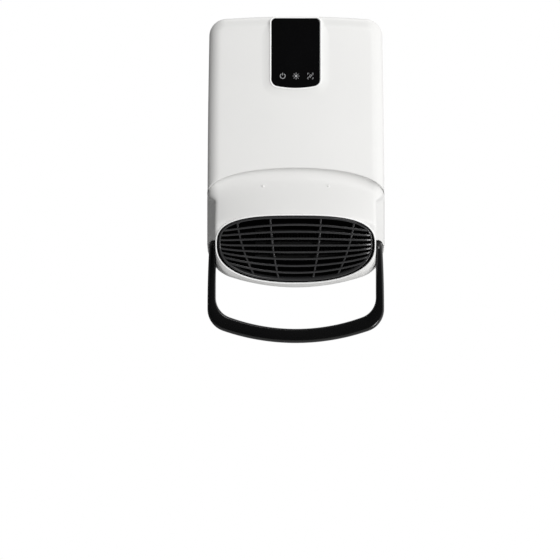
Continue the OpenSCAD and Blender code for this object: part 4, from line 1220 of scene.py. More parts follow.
@dataclass(frozen=True)
class Outlet:
    """The leaning oval of the air outlet. Places on it are x, up in its plane, and out of it."""

    form: BodyForm
    half_w: float = 104.6
    rise: float = 43.7
    fall: float = 52.9
    rise_power: float = 3.0
    fall_power: float = 2.3
    mid_h: float = 55.0

    def put(self, x: float, up: float, out: float) -> Vector:
        """Returns the point of the frame for a place on the outlet."""
        c, s = math.cos(self.form.lean), math.sin(self.form.lean)
        depth = self.form.outlet(self.mid_h) + up * s + out * c
        return place(x, depth, self.mid_h + up * c - out * s)

    def height(self, up: float) -> float:
        """Returns the height of a place in the outlet's plane."""
        return self.mid_h + up * math.cos(self.form.lean)

    def up_of(self, h: float) -> float:
        """Returns the place in the plane for a height."""
        return (h - self.mid_h) / math.cos(self.form.lean)

    def oval(self, x: float, up: float, grown: float) -> Flat:
        """Returns the point of the oval, grown all round, in the direction of (x, up)."""
        a = self.half_w + grown
        b, p = (self.rise + grown, self.rise_power) if up >= 0 else (self.fall + grown, self.fall_power)
        long = math.hypot(x, up)
        c, s = abs(x) / long, abs(up) / long
        r = ((c / a) ** p + (s / b) ** p) ** (-1 / p)
        return r * x / long, r * up / long

    def around(self, grown: float, count: int) -> list[Flat]:
        """Returns count places round the oval, grown all round."""
        mid = (self.rise + self.fall) / 2
        turns = [TURN * i / count for i in range(count)]
        return [self.oval(math.sin(a) * self.half_w, math.cos(a) * mid, grown) for a in turns]

    def inside(self, x: float, up: float, grown: float) -> bool:
        """Tells whether a place lies within the oval."""
        return self.beyond(x, up, grown) < 0

    def beyond(self, x: float, up: float, grown: float) -> float:
        """Returns how far a place lies outside the oval, away from its middle; inside it is negative."""
        return math.hypot(x, up) - math.hypot(*self.oval(x, up, grown))


@dataclass
class LowerCover:
    """The outlet housing: leaning side walls, a brow above the oval outlet, and a bead round it."""

    form: BodyForm
    outlet: Outlet
    wall: float = 2.5
    tuck: float = 4.0
    end_tuck: float = -0.2
    tuck_x: Flat = (117.5, 4.0)
    thinnest: float = 0.35
    thin_reach: float = 6.0
    thin_under: float = 6.0
    thin_end: float = 8.0
    step_x: float = 106.7
    step_h: float = 63.5
    step_fall: float = 0.3
    ledge_x: float = 110.7
    ledge_round: float = 6.8
    ledge_steps: int = 4
    bead_w: float = 1.9
    bead_out: float = 1.4
    collar: float = 9.0
    side_rows: int = 7
    round_rows: int = 8
    face_rows: int = 46
    arch_steps: int = 34
    side_steps: int = 26
    low_steps: tuple[int, int] = (26, 22)
    trim_steps: int = 240
    ledge_settling: tuple[int, float] = (12, 0.7)
    bead_turns: tuple[int, ...] = (25, 50, 75, 100, 125, 150, 175)
    bead_gap: float = 0.15
    bead_slack: float = 0.07
    bead_foot: Flat = (-0.6, -4.0)
    trim_turns: tuple[int, ...] = tuple(range(10, 180, 20))
    trim_rise: float = 0.06
    trim_shift: float = 0.08
    trim_wider: float = 0.02
    trim_foot: Flat = (0.2, -0.3)
    inside: Triple = (0.0, 30.0, 80.0)

    def _rows(self) -> list[tuple[float, float]]:
        """Returns (share of the side wall, angle round the fillet) for each ring outside the face."""
        rows = [(i / self.side_rows, 0.0) for i in range(self.side_rows)]
        return rows + [(1.0, QUARTER * i / self.round_rows) for i in range(self.round_rows + 1)]

    def _draft(self, rim: Rim) -> float:
        """Returns how far the wall leans in at a place of the outline."""
        return self.form.draft * rim.nx**2 if rim.below_step else self.form.nose_draft(rim.h)

    def _round(self, rim: Rim) -> float:
        """Returns the front edge's radius at a place of the outline."""
        return self.form.nose_round(rim.h) + (self.form.lip - self.form.fillet) * rim.nh**2

    def _turn(self, rim: Rim) -> float:
        """Returns how far round its rounding the front edge goes before the bead covers it."""
        draft, radius = self._draft(rim), self._round(rim)

        def in_sight(angle: float) -> bool:
            """Tells whether the bead leaves the rounding in sight at an angle."""
            x, h = rim.inset(draft + inside_edge(radius, angle))
            return not self.outlet.inside(x, self.outlet.up_of(h), self.bead_w)

        return QUARTER if in_sight(QUARTER) else last_place(0.0, QUARTER, in_sight)

    def _point(self, rim: Rim, row: tuple[float, float], turn: float = QUARTER) -> Triple:
        """Returns x, depth and height of an outline place on one ring, with its rounding ended at turn."""
        share, angle = row[0], row[1] * turn / QUARTER
        form, draft, radius = self.form, self._draft(rim), self._round(rim)
        if angle == 0.0:
            x, h = rim.inset(share * draft)
            front = form.nose_face(rim.x - draft, rim.h) - radius
            depth = blend(form.split, front, share)
        else:
            x, h = rim.inset(draft + inside_edge(radius, angle))
            depth = form.nose_face(x, h) - radius * (1 - math.sin(angle))
        return min(x, self.step_x if rim.below_step else rim.most_x), depth, h

    def _tuck_at(self, x: float) -> float:
        """Returns how far the cover reaches above the arch's line at x."""
        end, fade = self.tuck_x
        return blend(self.end_tuck, self.tuck, eased((end - x) / fade))

    def _chain(self) -> list[Triple]:
        """Returns x, depth and height along the upper edge, from the back of the side to the middle."""
        form = self.form
        chain = []
        for row in self._rows():
            h = form.arch
            for _ in range(SETTLE_STEPS):
                x = form.half_w - row[0] * form.nose_draft(h) - inside_edge(form.nose_round(h), row[1])
                h = blend(h, form.arch_at(x) + self._tuck_at(x), 0.5)
            _, depth, _ = self._point(Rim(form.half_w, h, 1.0, 0.0), row)
            chain.append((x, depth, h))
        last = chain[-1][0]
        for i in range(1, self.arch_steps + 1):
            x = last * (1 - i / self.arch_steps)
            h = form.arch_at(x) + self.tuck
            chain.append((x, form.nose_face(x, h), h))
        return chain

    def _ledge_h(self, x: float) -> float:
        """Returns the height of the step's underside at x: it follows the round top of the rail's arm."""
        off = held((x - self.ledge_x) / self.ledge_round)
        return self.step_h - self.ledge_round * (1 - math.sqrt(1 - off * off))

    def _rims(self, end_h: float, row: tuple[float, float]) -> list[Rim]:
        """Returns the outline's right half below the arch, for one ring."""
        half_w = self.form.half_w
        lip_x, lip_h = half_w, self.step_h
        steps, share = self.ledge_settling
        for _ in range(steps):
            rim = Rim(half_w, lip_h, 1.0, 0.0)
            lip_x = self._point(rim, row, self._turn(rim))[0]
            lip_h = blend(lip_h, self._ledge_h(lip_x), share)
        shares = [i / self.side_steps for i in range(1, self.side_steps + 1)]
        rims = [Rim(half_w, blend(end_h, lip_h, t), 1.0, 0.0) for t in shares]
        for i in range(1, self.ledge_steps):
            t = i / self.ledge_steps
            x = blend(lip_x, min(lip_x, self.step_x), t)
            rims.append(Rim(half_w, self._ledge_h(x) - self.step_fall * t, 1.0, 0.0, False, x))
        rims.append(Rim(half_w, self.step_h - self.step_fall, 1.0, 0.0, True))
        low = low_outline(half_w, self.form.low_corner, self.form.low_arc, 0.0, *self.low_steps)
        return rims + [replace(rim, below_step=True) for rim in low if rim.h < self.step_h - 1]

    def rings(self) -> list[Ring]:
        """Returns the rings from the back edge round to the wall of the outlet's opening."""
        chain = self._chain()
        rows = self._rows()
        rings = []
        for r, row in enumerate(rows):
            half = [place(*chain[max(j, r)]) for j in reversed(range(len(chain)))]
            half += [place(*self._point(rim, row, self._turn(rim))) for rim in self._rims(chain[r][2], row)]
            rings.append(both_halves(half))
        last = len(rows) - 1
        flat = [(chain[max(j, last)][0], chain[max(j, last)][2], 0.0) for j in reversed(range(len(chain)))]
        for rim in self._rims(chain[last][2], rows[-1]):
            turn = self._turn(rim)
            x, _, h = self._point(rim, rows[-1], turn)
            flat.append((x, h, self._round(rim) * (1 - math.sin(turn))))
        flat = [(x, self.outlet.up_of(h), drop) for x, h, drop in flat]
        for i in range(1, self.face_rows + 1):
            t = i / self.face_rows
            half = []
            for x, up, drop in flat:
                ox, oup = self.outlet.oval(x, up, self.bead_w)
                px, ph = blend(x, ox, t), self.outlet.height(blend(up, oup, t))
                half.append(place(px, self.form.nose_face(px, ph) - drop * (1 - t), ph))
            rings.append(both_halves(half))
        for grown, out in self._bead():
            half = [self.outlet.put(*self.outlet.oval(x, up, grown), out) for x, up, _ in flat]
            rings.append(both_halves(half))
        return rings

    def _bead(self) -> list[Flat]:
        """Returns the bead's section and the opening's wall, as (grown, out) pairs."""
        half = self.bead_w / 2
        gap, wide = self.bead_gap, half - self.bead_slack
        turns = [math.radians(degrees) for degrees in self.bead_turns]
        section = [(gap + wide * (1 + math.cos(a)), self.bead_out * math.sin(a)) for a in turns]
        return section + [(gap, out) for out in (*self.bead_foot, -self.collar)]

    def _trim(self) -> BMesh:
        """Returns the bead's trim, a fine ring that caps it, in a whiter white that paints the highlight on the bead.
        """
        half, top = self.bead_w / 2, self.bead_out + self.trim_rise
        middle, wide = half + self.trim_shift, half + self.trim_wider
        turns = [math.radians(degrees) for degrees in self.trim_turns]
        section = [(middle + wide * math.cos(a), top * math.sin(a)) for a in turns]
        section += [self.trim_foot, (self.bead_w, self.trim_foot[1])]
        steps = self.trim_steps
        return hoop([[self.outlet.put(*at, out) for at in self.outlet.around(grown, steps)] for grown, out in section])

    def _wall_share(self, x: float, h: float) -> float:
        """Returns the share of the wall's thickness at a place: it thins where the bead is narrower than the wall."""
        form, up = self.form, self.outlet.up_of(h)
        if h > form.arch_at(x) - self.thin_under and abs(x) > form.half_w - self.thin_end:
            return self.thinnest
        away = self.outlet.beyond(x, up if abs(up) > LEVEL else LEVEL, self.bead_w)
        return held(self.thinnest + away / self.thin_reach, self.thinnest)

    def build(self, shop: Workshop) -> None:
        """Builds the cover and sets it on the body."""
        bm = turned_outwards(skin_through(self.rings()), place(*self.inside))
        piece = shop.piece("outlet_housing", bm, Slot.SHELL, replaces=["lower_cover"])
        shop.piece("outlet_highlight_trim", self._trim(), Slot.SHELL, finish=shop.trim)
        shop.thicken(piece, self.wall, self._wall_share)


@dataclass
class OutletGrille:
    """The oval grille: a rounded frame, slats that bow and fall back towards their ends, and four ribs."""

    outlet: Outlet
    rim: float = 5.0
    pitch: float = 9.9
    slats: int = 8
    above: int = 3
    mid: float = 0.4
    bow_high: float = 0.38
    bow_low: float = 0.48
    slat_t: float = 2.8
    slat_deep: float = 6.0
    slat_out: float = -1.0
    rib_t: float = 2.4
    rib_out: float = -2.4
    rib_deep: float = 5.0
    ribs: tuple[float, ...] = (-77.5, -33.3, 33.3, 77.5)
    count: int = 200
    steps: int = 64
    front_from: float = -7.0
    overlap: float = 1.2
    rib_bend: Triple = (0.918, 0.176, -0.0825)
    dome: float = 5.5
    dome_power: float = 9.0
    duct_out: float = -11.0
    duct_in: float = -0.25
    opening: tuple[float, float, float, float] = (-54.0, 84.0, -25.0, 19.0)
    frame_section: tuple[Flat, ...] = (
        (-1.0, -8.0),
        (-1.0, -2.2),
        (-1.25, -1.3),
        (-1.8, -0.6),
        (-2.5, -0.15),
        (-3.2, 0.0),
        (-3.9, -0.15),
        (-4.5, -0.6),
        (-4.9, -1.4),
        (-5.1, -2.4),
        (-5.1, -8.0),
    )
    bar_front: tuple[Flat, ...] = ((1.0, -0.7), (0.87, -0.22), (0.68, -0.02), (0.5, 0.0))
    look_ahead: float = 0.001
    farthest: float = 1.2
    reach_steps: int = 30
    duct_lip: tuple[Flat, ...] = ((-0.5, 0.1), (-0.8, -0.25), (-5.0, -0.25))
    duct_far: float = 9.0
    duct_wall: float = 0.6
    duct_inside: Triple = (0.0, 20.0, 60.0)

    def _fall_back(self, x: float) -> float:
        """Returns how far the grille's face lies behind its middle at x: it rounds back at both ends."""
        return self.dome * min(1.0, abs(x) / self.outlet.half_w) ** self.dome_power

    def _frame(self) -> BMesh:
        """Returns the frame's ring, whose front rounds back at both ends."""
        rings = []
        for grown, out in self.frame_section:
            front = 1.0 if out > self.front_from else 0.0
            places = self.outlet.around(grown, self.count)
            rings.append([self.outlet.put(x, up, out - front * self._fall_back(x)) for x, up in places])
        return hoop(rings)

    def _bar(self, path: Path, reach: float, width: float, deep: float, out: float) -> BMesh:
        """Returns one bar with a rounded front, along a path in the outlet's plane.

        Args:
            path: Gives (x, up) for a share from -1 to 1 along the bar.
            reach: The share at which the bar ends, on each side.
            width: The bar's width.
            deep: Its depth.
            out: How far its front lies out of the outlet's plane.

        Returns:
            The bar.
        """
        rings = []
        half = width / 2
        c, s = math.cos(self.outlet.form.lean), math.sin(self.outlet.form.lean)
        section = [(half, -deep)] + [(half * share, d) for share, d in self.bar_front]
        section += [(0.0, 0.0)] + [(-w, d) for w, d in reversed(section)]
        for i in range(self.steps + 1):
            t = reach * (2 * i / self.steps - 1)
            x, up = path(t)
            x2, up2 = path(t + self.look_ahead)
            run = Vector((x2 - x, up2 - up)).normalized()
            front = out - self._fall_back(x)
            rings.append([self.outlet.put(x - run.y * w, up + run.x * w + d * s, front + d * c) for w, d in section])
        return closed_solid(rings)

    def _slat_path(self, k: int) -> Path:
        """Returns the path of one slat."""
        y = (self.above - k) * self.pitch
        bow = self.bow_high if y > 0 else self.bow_low
        half_w = self.outlet.half_w

        def path(t: float) -> Flat:
            """Returns (x, up) along the slat."""
            return t * half_w, self.mid + y * (1 - bow * t * t)

        return path

    def _rib_path(self, x0: float) -> Path:
        """Returns the path of one rib."""
        even, lean, bend = self.rib_bend
        fall = self.outlet.fall

        def path(t: float) -> Flat:
            """Returns (x, up) along the rib."""
            return x0 * (even + lean * t + bend * t * t), t * fall

        return path

    def _reach(self, path: Path, way: float) -> float:
        """Returns the share at which a path meets the frame's inner edge."""
        edge = self.overlap - self.rim
        return last_place(0.0, self.farthest, lambda t: self.outlet.inside(*path(way * t), edge), self.reach_steps)

    def _duct(self) -> BMesh:
        """Returns the duct between the frame and the heater: a short skirt and a plate with its opening, near black as
        painted shade inside the outlet.
        """
        left, right, low, high = self.opening
        far = self.duct_far
        rows = [(0.0, out, grown) for out, grown in self.duct_lip]
        rows += [(share, self.duct_out, self.duct_in) for share in (0.0, 0.5, 1.0)]
        rings = []
        for share, out, grown in rows:
            ring = []
            for x, up in self.outlet.around(grown, self.count):
                reach = min((right if x > 0 else left) / x if x else far, (high if up > 0 else low) / up if up else far)
                ring.append(self.outlet.put(blend(x, x * reach, share), blend(up, up * reach, share), out))
            rings.append(ring)
        return turned_outwards(skin_through(rings), place(*self.duct_inside))

    def build(self, shop: Workshop) -> None:
        """Builds the frame, the slats and the ribs, and sets them on the body."""
        duct = shop.piece("outlet_shade_duct", self._duct(), Slot.DARK, finish=DUCT_SHADE_BLACK.build())
        shop.thicken(duct, self.duct_wall)
        shop.piece("grille_frame", self._frame(), Slot.GRILLE, replaces=["outlet_grille"])
        for k in range(self.slats):
            path = self._slat_path(k)
            bm = self._bar(path, self._reach(path, 1.0), self.slat_t, self.slat_deep, self.slat_out)
            shop.piece(f"grille_slat_{k + 1}", bm, Slot.GRILLE, replaces=["outlet_grille"])
        for k, x0 in enumerate(self.ribs):
            path = self._rib_path(x0)
            up, down = self._reach(path, 1.0), self._reach(path, -1.0)
            middle, span = (up - down) / 2, (up + down) / 2

            def part(t: float, run: Path = path, mid: float = middle, far: float = span) -> Flat:
                """Returns (x, up) along the rib between its two ends."""
                return run(mid + far * t)

            bm = self._bar(part, 1.0, self.rib_t, self.rib_deep, self.rib_out)
            shop.piece(f"grille_rib_{k + 1}", bm, Slot.GRILLE, replaces=["outlet_grille"])


# ---------------------------------------------------------------- display


@dataclass
class DisplayPanel:
    """The raised surround in the front cover, its dark window and the three touch marks."""

    form: BodyForm
    window_w: float = 65.0
    low_h: float = 265.8
    top_gap: float = 4.6
    margin: float = 2.3
    out: float = 2.2
    thick: float = 2.0
    top_r: float = 5.4
    low_r: float = 9.3
    arc_r: float = 126.0
    snug: float = 0.15
    mark_h: float = 281.7
    mark_x: Triple = (-17.3, 0.6, 19.6)
    ink: float = 0.06
    sunk: float = 0.3
    rooted: float = 0.8
    flare_w: float = 12.0
    flare_out: float = 1.5
    flare_top: Flat = (0.12, 26.0)
    flare_steps: int = 12
    flare_rise: float = 0.25
    flare_sink: float = 0.06
    flare_power: int = 8
    top_steps: int = 6
    top_flat: float = 0.8
    corner_steps: int = 10
    side_steps: int = 12
    low_steps: tuple[int, int] = (12, 8)
    edge_outer: tuple[Flat, ...] = ((-0.02, -0.5), (-0.15, -0.2), (-0.5, -0.03), (-0.9, 0.0))
    edge_inner: tuple[Flat, ...] = ((0.75, -0.04), (0.2, -0.26), (0.0, -0.5), (0.0, -2.1))
    trim_outer: tuple[Flat, ...] = ((-0.1, -0.9), (-0.1, -0.35), (-0.25, -0.1), (-0.6, 0.05), (-1.0, 0.08))
    trim_inner: tuple[Flat, ...] = ((0.75, 0.05), (0.25, -0.12), (0.0, -0.4), (0.0, -0.9))
    glass_back: tuple[Flat, ...] = ((-0.3, 0.0), (0.0, 0.2))
    glass_front: tuple[Flat, ...] = ((0.0, -0.35), (-0.12, -0.12), (-0.4, 0.0), (-0.7, 0.0), (-3.5, 0.0))
    ink_under: float = 0.02
    power_gap: float = 34.0
    power_r: float = 3.3
    power_bar: Flat = (4.3, 0.8)
    power_steps: int = 20
    power_line: float = 0.85
    heat_r: float = 0.85
    heat_line: float = 1.6
    heat_steps: int = 16
    rays: int = 8
    ray_r: Flat = (2.5, 4.6)
    fine_line: float = 0.6
    bracket: tuple[Flat, ...] = ((3.6, 1.7), (3.6, 3.9), (2.0, 3.9))
    slash: Flat = (1.3, 2.2)
    slash_line: float = 0.65

    @property
    def mid_h(self) -> float:
        """Returns the height of the panel's middle."""
        return (self.form.height - self.top_gap + self.low_h) / 2

    @property
    def lean(self) -> float:
        """Returns how far the face leans back."""
        return math.atan(self.form.face_slope)

    def put(self, x: float, up: float, out: float) -> Vector:
        """Returns the point of the frame for a place on the leaning face."""
        c, s = math.cos(self.lean), math.sin(self.lean)
        return place(x, self.form.face(0, self.mid_h) - up * s + out * c, self.mid_h + up * c + out * s)

    def up_of(self, h: float) -> float:
        """Returns the place up the face for a height."""
        return (h - self.mid_h) / math.cos(self.lean)

    def outline(self, grown: float) -> list[Flat]:
        """Returns the window's closed outline, grown all round."""
        half_w = self.window_w / 2 + grown
        top = self.up_of(self.form.height - self.top_gap) + grown
        r = self.top_r + grown
        half = [(half_w * (i / self.top_steps) * self.top_flat, top) for i in range(self.top_steps)]
        turns = [QUARTER * (1 - i / self.corner_steps) for i in range(self.corner_steps + 1)]
        half += [(half_w - r + r * math.cos(a), top - r + r * math.sin(a)) for a in turns]
        low = self.up_of(self.low_h) - grown
        rims = low_outline(half_w, self.low_r + grown, self.arc_r + grown, low, *self.low_steps)
        half += [(half_w, blend(top - r, rims[0].h, i / self.side_steps)) for i in range(1, self.side_steps)]
        half += [(rim.x, rim.h) for rim in rims]
        return half + [(-x, up) for x, up in reversed(half[1:-1])]

    def _skin_out(self, x: float, up: float) -> float:
        """Returns how far the front cover's skin lies out of the panel's plane at a place."""
        form = self.form
        h = self.mid_h + up * math.cos(self.lean)
        edge = form.height - x * x / (2 * form.top_arc) - h
        fall = form.crown * (x / form.half_w) ** 2
        if edge < form.edge:
            fall += form.edge - math.sqrt(max(0.0, form.edge**2 - (form.edge - max(edge, 0.0)) ** 2))
        return -fall

    def _flare(self, share: float) -> Ring:
        """Returns one ring of the flare: on the skin at share 1, risen to the surround at share 0."""
        wide, near = self.outline(self.margin + self.flare_w), self.outline(self.margin)
        top = near[0][1]
        ring = []
        for (wx, wup), (nx, nup) in zip(wide, near):
            reach = share * blend(self.flare_top[0], 1.0, held((top - nup) / self.flare_top[1]))
            x, up = blend(nx, wx, reach), min(blend(nup, wup, reach), top + self.flare_rise * share)
            rise = self.flare_out * (1 - share) ** 2 - self.flare_sink * share**self.flare_power
            ring.append(self.put(x, up, self._skin_out(x, up) + rise))
        return ring

    def _surround(self) -> BMesh:
        """Returns the surround: a ring with a soft edge, on a flare that swells out of the cover's skin."""
        edge = self._rings(self._between(self.edge_outer, self.edge_inner), self.out)
        flare = [self._flare(1 - i / self.flare_steps) for i in range(self.flare_steps + 1)]
        return hoop([self._root(self.margin), *flare, *edge, self._root(self.snug)])

    def _between(self, outer: Sequence[Flat], inner: Sequence[Flat]) -> list[Flat]:
        """Returns a section from places given from the surround's outer edge and from its inner edge."""
        section = [(self.margin + grown, out) for grown, out in outer]
        return section + [(self.snug + grown, out) for grown, out in inner]

    def _root(self, grown: float) -> Ring:
        """Returns a ring of the surround that lies hidden in the front cover."""
        return [self.put(x, up, self._skin_out(x, up) - self.rooted) for x, up in self.outline(grown)]

    def _rings(self, section: Sequence[Flat], lift: float = 0.0) -> list[Ring]:
        """Returns one ring for each (grown, out) pair of a section, lifted out of the panel's plane."""
        return [[self.put(x, up, lift + out) for x, up in self.outline(grown)] for grown, out in section]

    def _trim(self) -> BMesh:
        """Returns the trim: a fine rounded ring that lies on the surround, next to the window, in a whiter white that
        paints the highlight on its edge.
        """
        return hoop(self._rings(self._between(self.trim_outer, self.trim_inner), self.out))

    def _window(self) -> BMesh:
        """Returns the window: a slab with a fine round along its front edge."""
        back, front = self.out - self.thick, self.out - self.sunk
        return closed_solid(self._rings(self.glass_back, back) + self._rings(self.glass_front, front))

    def _stroke(self, bm: BMesh, path: Sequence[Flat], width: float, closed: bool = False) -> None:
        """Adds one flat stroke of ink along a path on the face.

        Args:
            bm: The mesh that gets the stroke.
            path: Places (x, up) along the stroke's middle.
            width: The stroke's width.
            closed: Whether the stroke joins its own start.
        """
        count = len(path)
        sides = []
        for i, (x, up) in enumerate(path):
            before = path[(i - 1) % count] if closed or i > 0 else path[i]
            after = path[(i + 1) % count] if closed or i < count - 1 else path[i]
            run = Vector((after[0] - before[0], after[1] - before[1])).normalized()
            sides.append((x, up, -run.y * width / 2, run.x * width / 2))
        base, top = self.out - self.sunk - self.ink_under, self.out - self.sunk + self.ink
        section = ((-1, base), (-1, top), (1, top), (1, base))
        rows = []
        for x, up, dx, dup in sides:
            rows.append([bm.verts.new(self.put(x + s * dx, up + s * dup, out)) for s, out in section])
        for i in range(count if closed else count - 1):
            a, b = rows[i], rows[(i + 1) % count]
            for k in range(4):
                bm.faces.new((a[k], a[(k + 1) % 4], b[(k + 1) % 4], b[k]))
        if not closed:
            bm.faces.new(reversed(rows[0]))
            bm.faces.new(rows[-1])

    def _marks(self) -> BMesh:
        """Returns the three touch marks: a power sign, a heat sign and a frame with two strokes."""
        bm = bmesh.new()
        up = self.up_of(self.mark_h)
        power_x, heat_x, frame_x = self.mark_x

        def stroke(x: float, places: Iterable[Flat], width: float, closed: bool = False) -> None:
            """Adds a stroke through places round (x, up)."""
            self._stroke(bm, [(x + dx, up + dup) for dx, dup in places], width, closed)

        def fan(radius: float, turns: Iterable[float]) -> list[Flat]:
            """Returns places at a radius, for angles from the right."""
            return [(radius * math.cos(a), radius * math.sin(a)) for a in turns]

        gap = math.radians(self.power_gap)
        arc = [gap + (TURN - 2 * gap) * i / self.power_steps for i in range(self.power_steps + 1)]
        stroke(power_x, [(y, x) for x, y in fan(self.power_r, arc)], self.power_line)
        stroke(power_x, [(0.0, dup) for dup in self.power_bar], self.power_line)
        circle = [TURN * i / self.heat_steps for i in range(self.heat_steps)]
        stroke(heat_x, fan(self.heat_r, circle), self.heat_line, True)
        for i in range(self.rays):
            stroke(heat_x, [fan(r, [TURN * i / self.rays])[0] for r in self.ray_r], self.fine_line)
        for sx, sy in ((-1, 1), (1, 1), (1, -1), (-1, -1)):
            stroke(frame_x, [(sx * dx, sy * dup) for dx, dup in self.bracket], self.fine_line)
        dx, dup = self.slash
        for shift in (-1.0, 1.0):
            stroke(frame_x, [(shift - dx, -dup), (shift + dx, dup)], self.slash_line)
        return faced(bm)

    def build(self, shop: Workshop) -> None:
        """Builds the display's pieces and sets them on the body."""
        shop.piece("display_surround", self._surround(), Slot.SHELL, replaces=["display_bezel"])
        shop.piece("display_highlight_trim", self._trim(), Slot.SHELL, finish=shop.trim)
        shop.piece("display_glass", self._window(), Slot.WINDOW, replaces=["display_window"])
        shop.piece("touch_marks", self._marks(), Slot.WINDOW, finish=MARK_INK.build())


# ---------------------------------------------------------------- rail


@dataclass
class HangingRail:
    """The swinging rail: two arms with round eyes, and a bowed bar between them."""

    half_w: float = 118.9
    eye_in: float = 2.2
    arm: float = 11.0
    pivot_h: float = 50.5
    pivot_depth: float = 58.0
    eye: float = 12.0
    drop: float = 125.5
    bar_h: float = 19.0
    bar_deep: float = 16.0
    corner: float = 31.0
    inner_corner: float = 28.0
    low_arc: float = 301.0
    top_arc: float = 262.0
    outer_round: float = 6.0
    inner_round: float = 2.6
    bolt_in: float = 1.4
    bolt_head: Flat = (6.2, 2.6)
    bolt_shank: Flat = (4.0, 105.2)
    bolt_thread: Flat = (3.0, 95.5)
    cap_section: tuple[Flat, ...] = ((0.3, 0.0), (0.26, 2.5), (0.17, 4.5), (0.04, 5.8), (-0.3, 6.25), (-1.2, 6.3))
    corner_steps: int = 7
    bend_steps: tuple[int, int] = (20, 34)
    eye_steps: int = 14
    arm_steps: int = 24
    turn_steps: int = 48

    @property
    def low(self) -> float:
        """Returns the rail's lowest height."""
        return self.pivot_h - self.drop

    def _half_deep(self, h: float) -> float:
        """Returns half the rail's depth at a height below the pivots."""
        return blend(self.bar_deep / 2, self.eye, held((h - self.low) / self.drop))

    def _section(self, outer: Flat, inner: Flat, above: float, mirror: float) -> Ring:
        """Returns one ring round the rail.

        Args:
            outer: The outer edge's x and height.
            inner: The inner edge's x and height.
            above: How far the ring lies above the pivots; below them it is negative.
            mirror: 1 on the right, -1 on the left.

        Returns:
            The ring's points.
        """
        o, i = Vector(outer), Vector(inner)
        across = (i - o).normalized()
        deep = self.eye if above > 0 else self._half_deep((outer[1] + inner[1]) / 2)
        lift = max(0.0, above)
        corners = []
        for start, way, radius in ((o, 1.0, self.outer_round), (i, -1.0, self.inner_round)):
            limit = 0.0 if lift <= deep - radius else held((lift - deep + radius) / radius)
            most = math.acos(limit) if limit > 0 else QUARTER
            points = []
            for k in range(self.corner_steps + 1):
                a = most * (1 - k / self.corner_steps)
                rho = deep - radius + radius * math.cos(a)
                point = start + across * way * radius * (1 - math.sin(a))
                points.append((point, math.sqrt(max(0.0, rho * rho - lift * lift))))
            corners.append(points)
        half = corners[0] + corners[1][::-1]
        ring = half + [(p, -d) for p, d in reversed(half)]
        return [place(mirror * p.x, self.pivot_depth + d, p.y) for p, d in ring]

    def _stations(self) -> list[tuple[Flat, Flat, float]]:
        """Returns the outer and inner edges' places from the top of the right eye to the middle of the bar."""
        in_x = self.half_w - self.arm
        outer = low_outline(self.half_w, self.corner, self.low_arc, self.low, *self.bend_steps)
        inner = low_outline(in_x, self.inner_corner, self.top_arc, self.low + self.bar_h, *self.bend_steps)
        stations = []
        top_x = self.half_w - self.eye_in
        for i in range(self.eye_steps + 1):
            above = self.eye * math.cos(QUARTER * i / self.eye_steps)
            stations.append(((top_x, self.pivot_h + above), (in_x, self.pivot_h + above), above))
        for i in range(1, self.arm_steps):
            t = i / self.arm_steps
            x = self.half_w - self.eye_in * (1 - t) ** 2
            heights = [blend(self.pivot_h, rims[0].h, t) for rims in (outer, inner)]
            stations.append(((x, heights[0]), (in_x, heights[1]), -1.0))
        return stations + [((o.x, o.h), (i.x, i.h), -1.0) for o, i in zip(outer, inner)]

    def _bar(self) -> BMesh:
        """Returns the whole rail."""
        half = self._stations()
        rings = [self._section(*station, 1.0) for station in half]
        return closed_solid(rings + [self._section(*station, -1.0) for station in reversed(half[:-1])])

    def _turned(self, side: float, section: Sequence[Flat]) -> BMesh:
        """Returns a solid spun about one pivot from its outline, given as (x, radius) from the outer end."""
        points = [place(side * x, self.pivot_depth, self.pivot_h + r) for x, r in section]
        centre = place(side * self.half_w, self.pivot_depth, self.pivot_h)
        return spun(points, centre, Vector((1, 0, 0)), self.turn_steps)

    def _cap(self, side: float) -> BMesh:
        """Returns one pivot cap: a shallow dome."""
        x = self.half_w - self.eye_in
        return self._turned(side, [(x + out, r) for out, r in self.cap_section])

    def _bolt(self, side: float) -> BMesh:
        """Returns one pivot bolt, with its head under the cap and its thread in the bracket's nut."""
        top = self.half_w - self.eye_in - self.bolt_in
        head_r, head_t = self.bolt_head
        shank_r, shank_x = self.bolt_shank
        thread_r, thread_x = self.bolt_thread
        section = [(top, 0.0), (top, head_r), (top - head_t, head_r), (top - head_t, shank_r)]
        return self._turned(side, section + [(shank_x, shank_r), (shank_x, thread_r), (thread_x, thread_r)])

    def build(self, shop: Workshop) -> None:
        """Builds the rail and its caps on the swinging body, and the bolts that hold it."""
        shop.piece("rail_bar", self._bar(), Slot.RAIL, Body.RAIL, ["rail"])
        for side, name in SIDES:
            shop.piece(f"pivot_cap_{name}", self._cap(side), Slot.RAIL, Body.RAIL, ["rail_caps"])
            shop.piece(f"pivot_bolt_{name}", self._bolt(side), Slot.ZINC, Body.FIXED, ["rail_bolts"])


# ---------------------------------------------------------------- small outer pieces


@dataclass
class CoverPlugs:
    """The two round plugs in the lower cover."""

    form: BodyForm
    x: float = 43.5
    h: float = 135.0
    section: tuple[Flat, ...] = (
        (0.0, 1.6),
        (0.75, 1.5),
        (1.4, 1.2),
        (1.9, 0.75),
        (2.2, 0.25),
        (2.3, -0.2),
        (2.3, -1.0),
    )
    turn_steps: int = 28

    def build(self, shop: Workshop) -> None:
        """Builds both plugs and sets them on the body."""
        form = self.form
        slope = (form.nose_face(self.x, self.h - 2) - form.nose_face(self.x, self.h + 2)) / 4
        out = Vector((0.0, -1.0, slope)).normalized()
        for side, name in SIDES:
            centre = place(side * self.x, form.nose_face(self.x, self.h), self.h)
            side_way = out.cross(Vector((1, 0, 0))).normalized()
            outline = [centre + (out * o + side_way * r) * MM for r, o in self.section]
            bm = spun(outline, centre, out, self.turn_steps)
            shop.piece(f"cover_plug_{name}", bm, Slot.SHELL, replaces=["screw_plugs"])


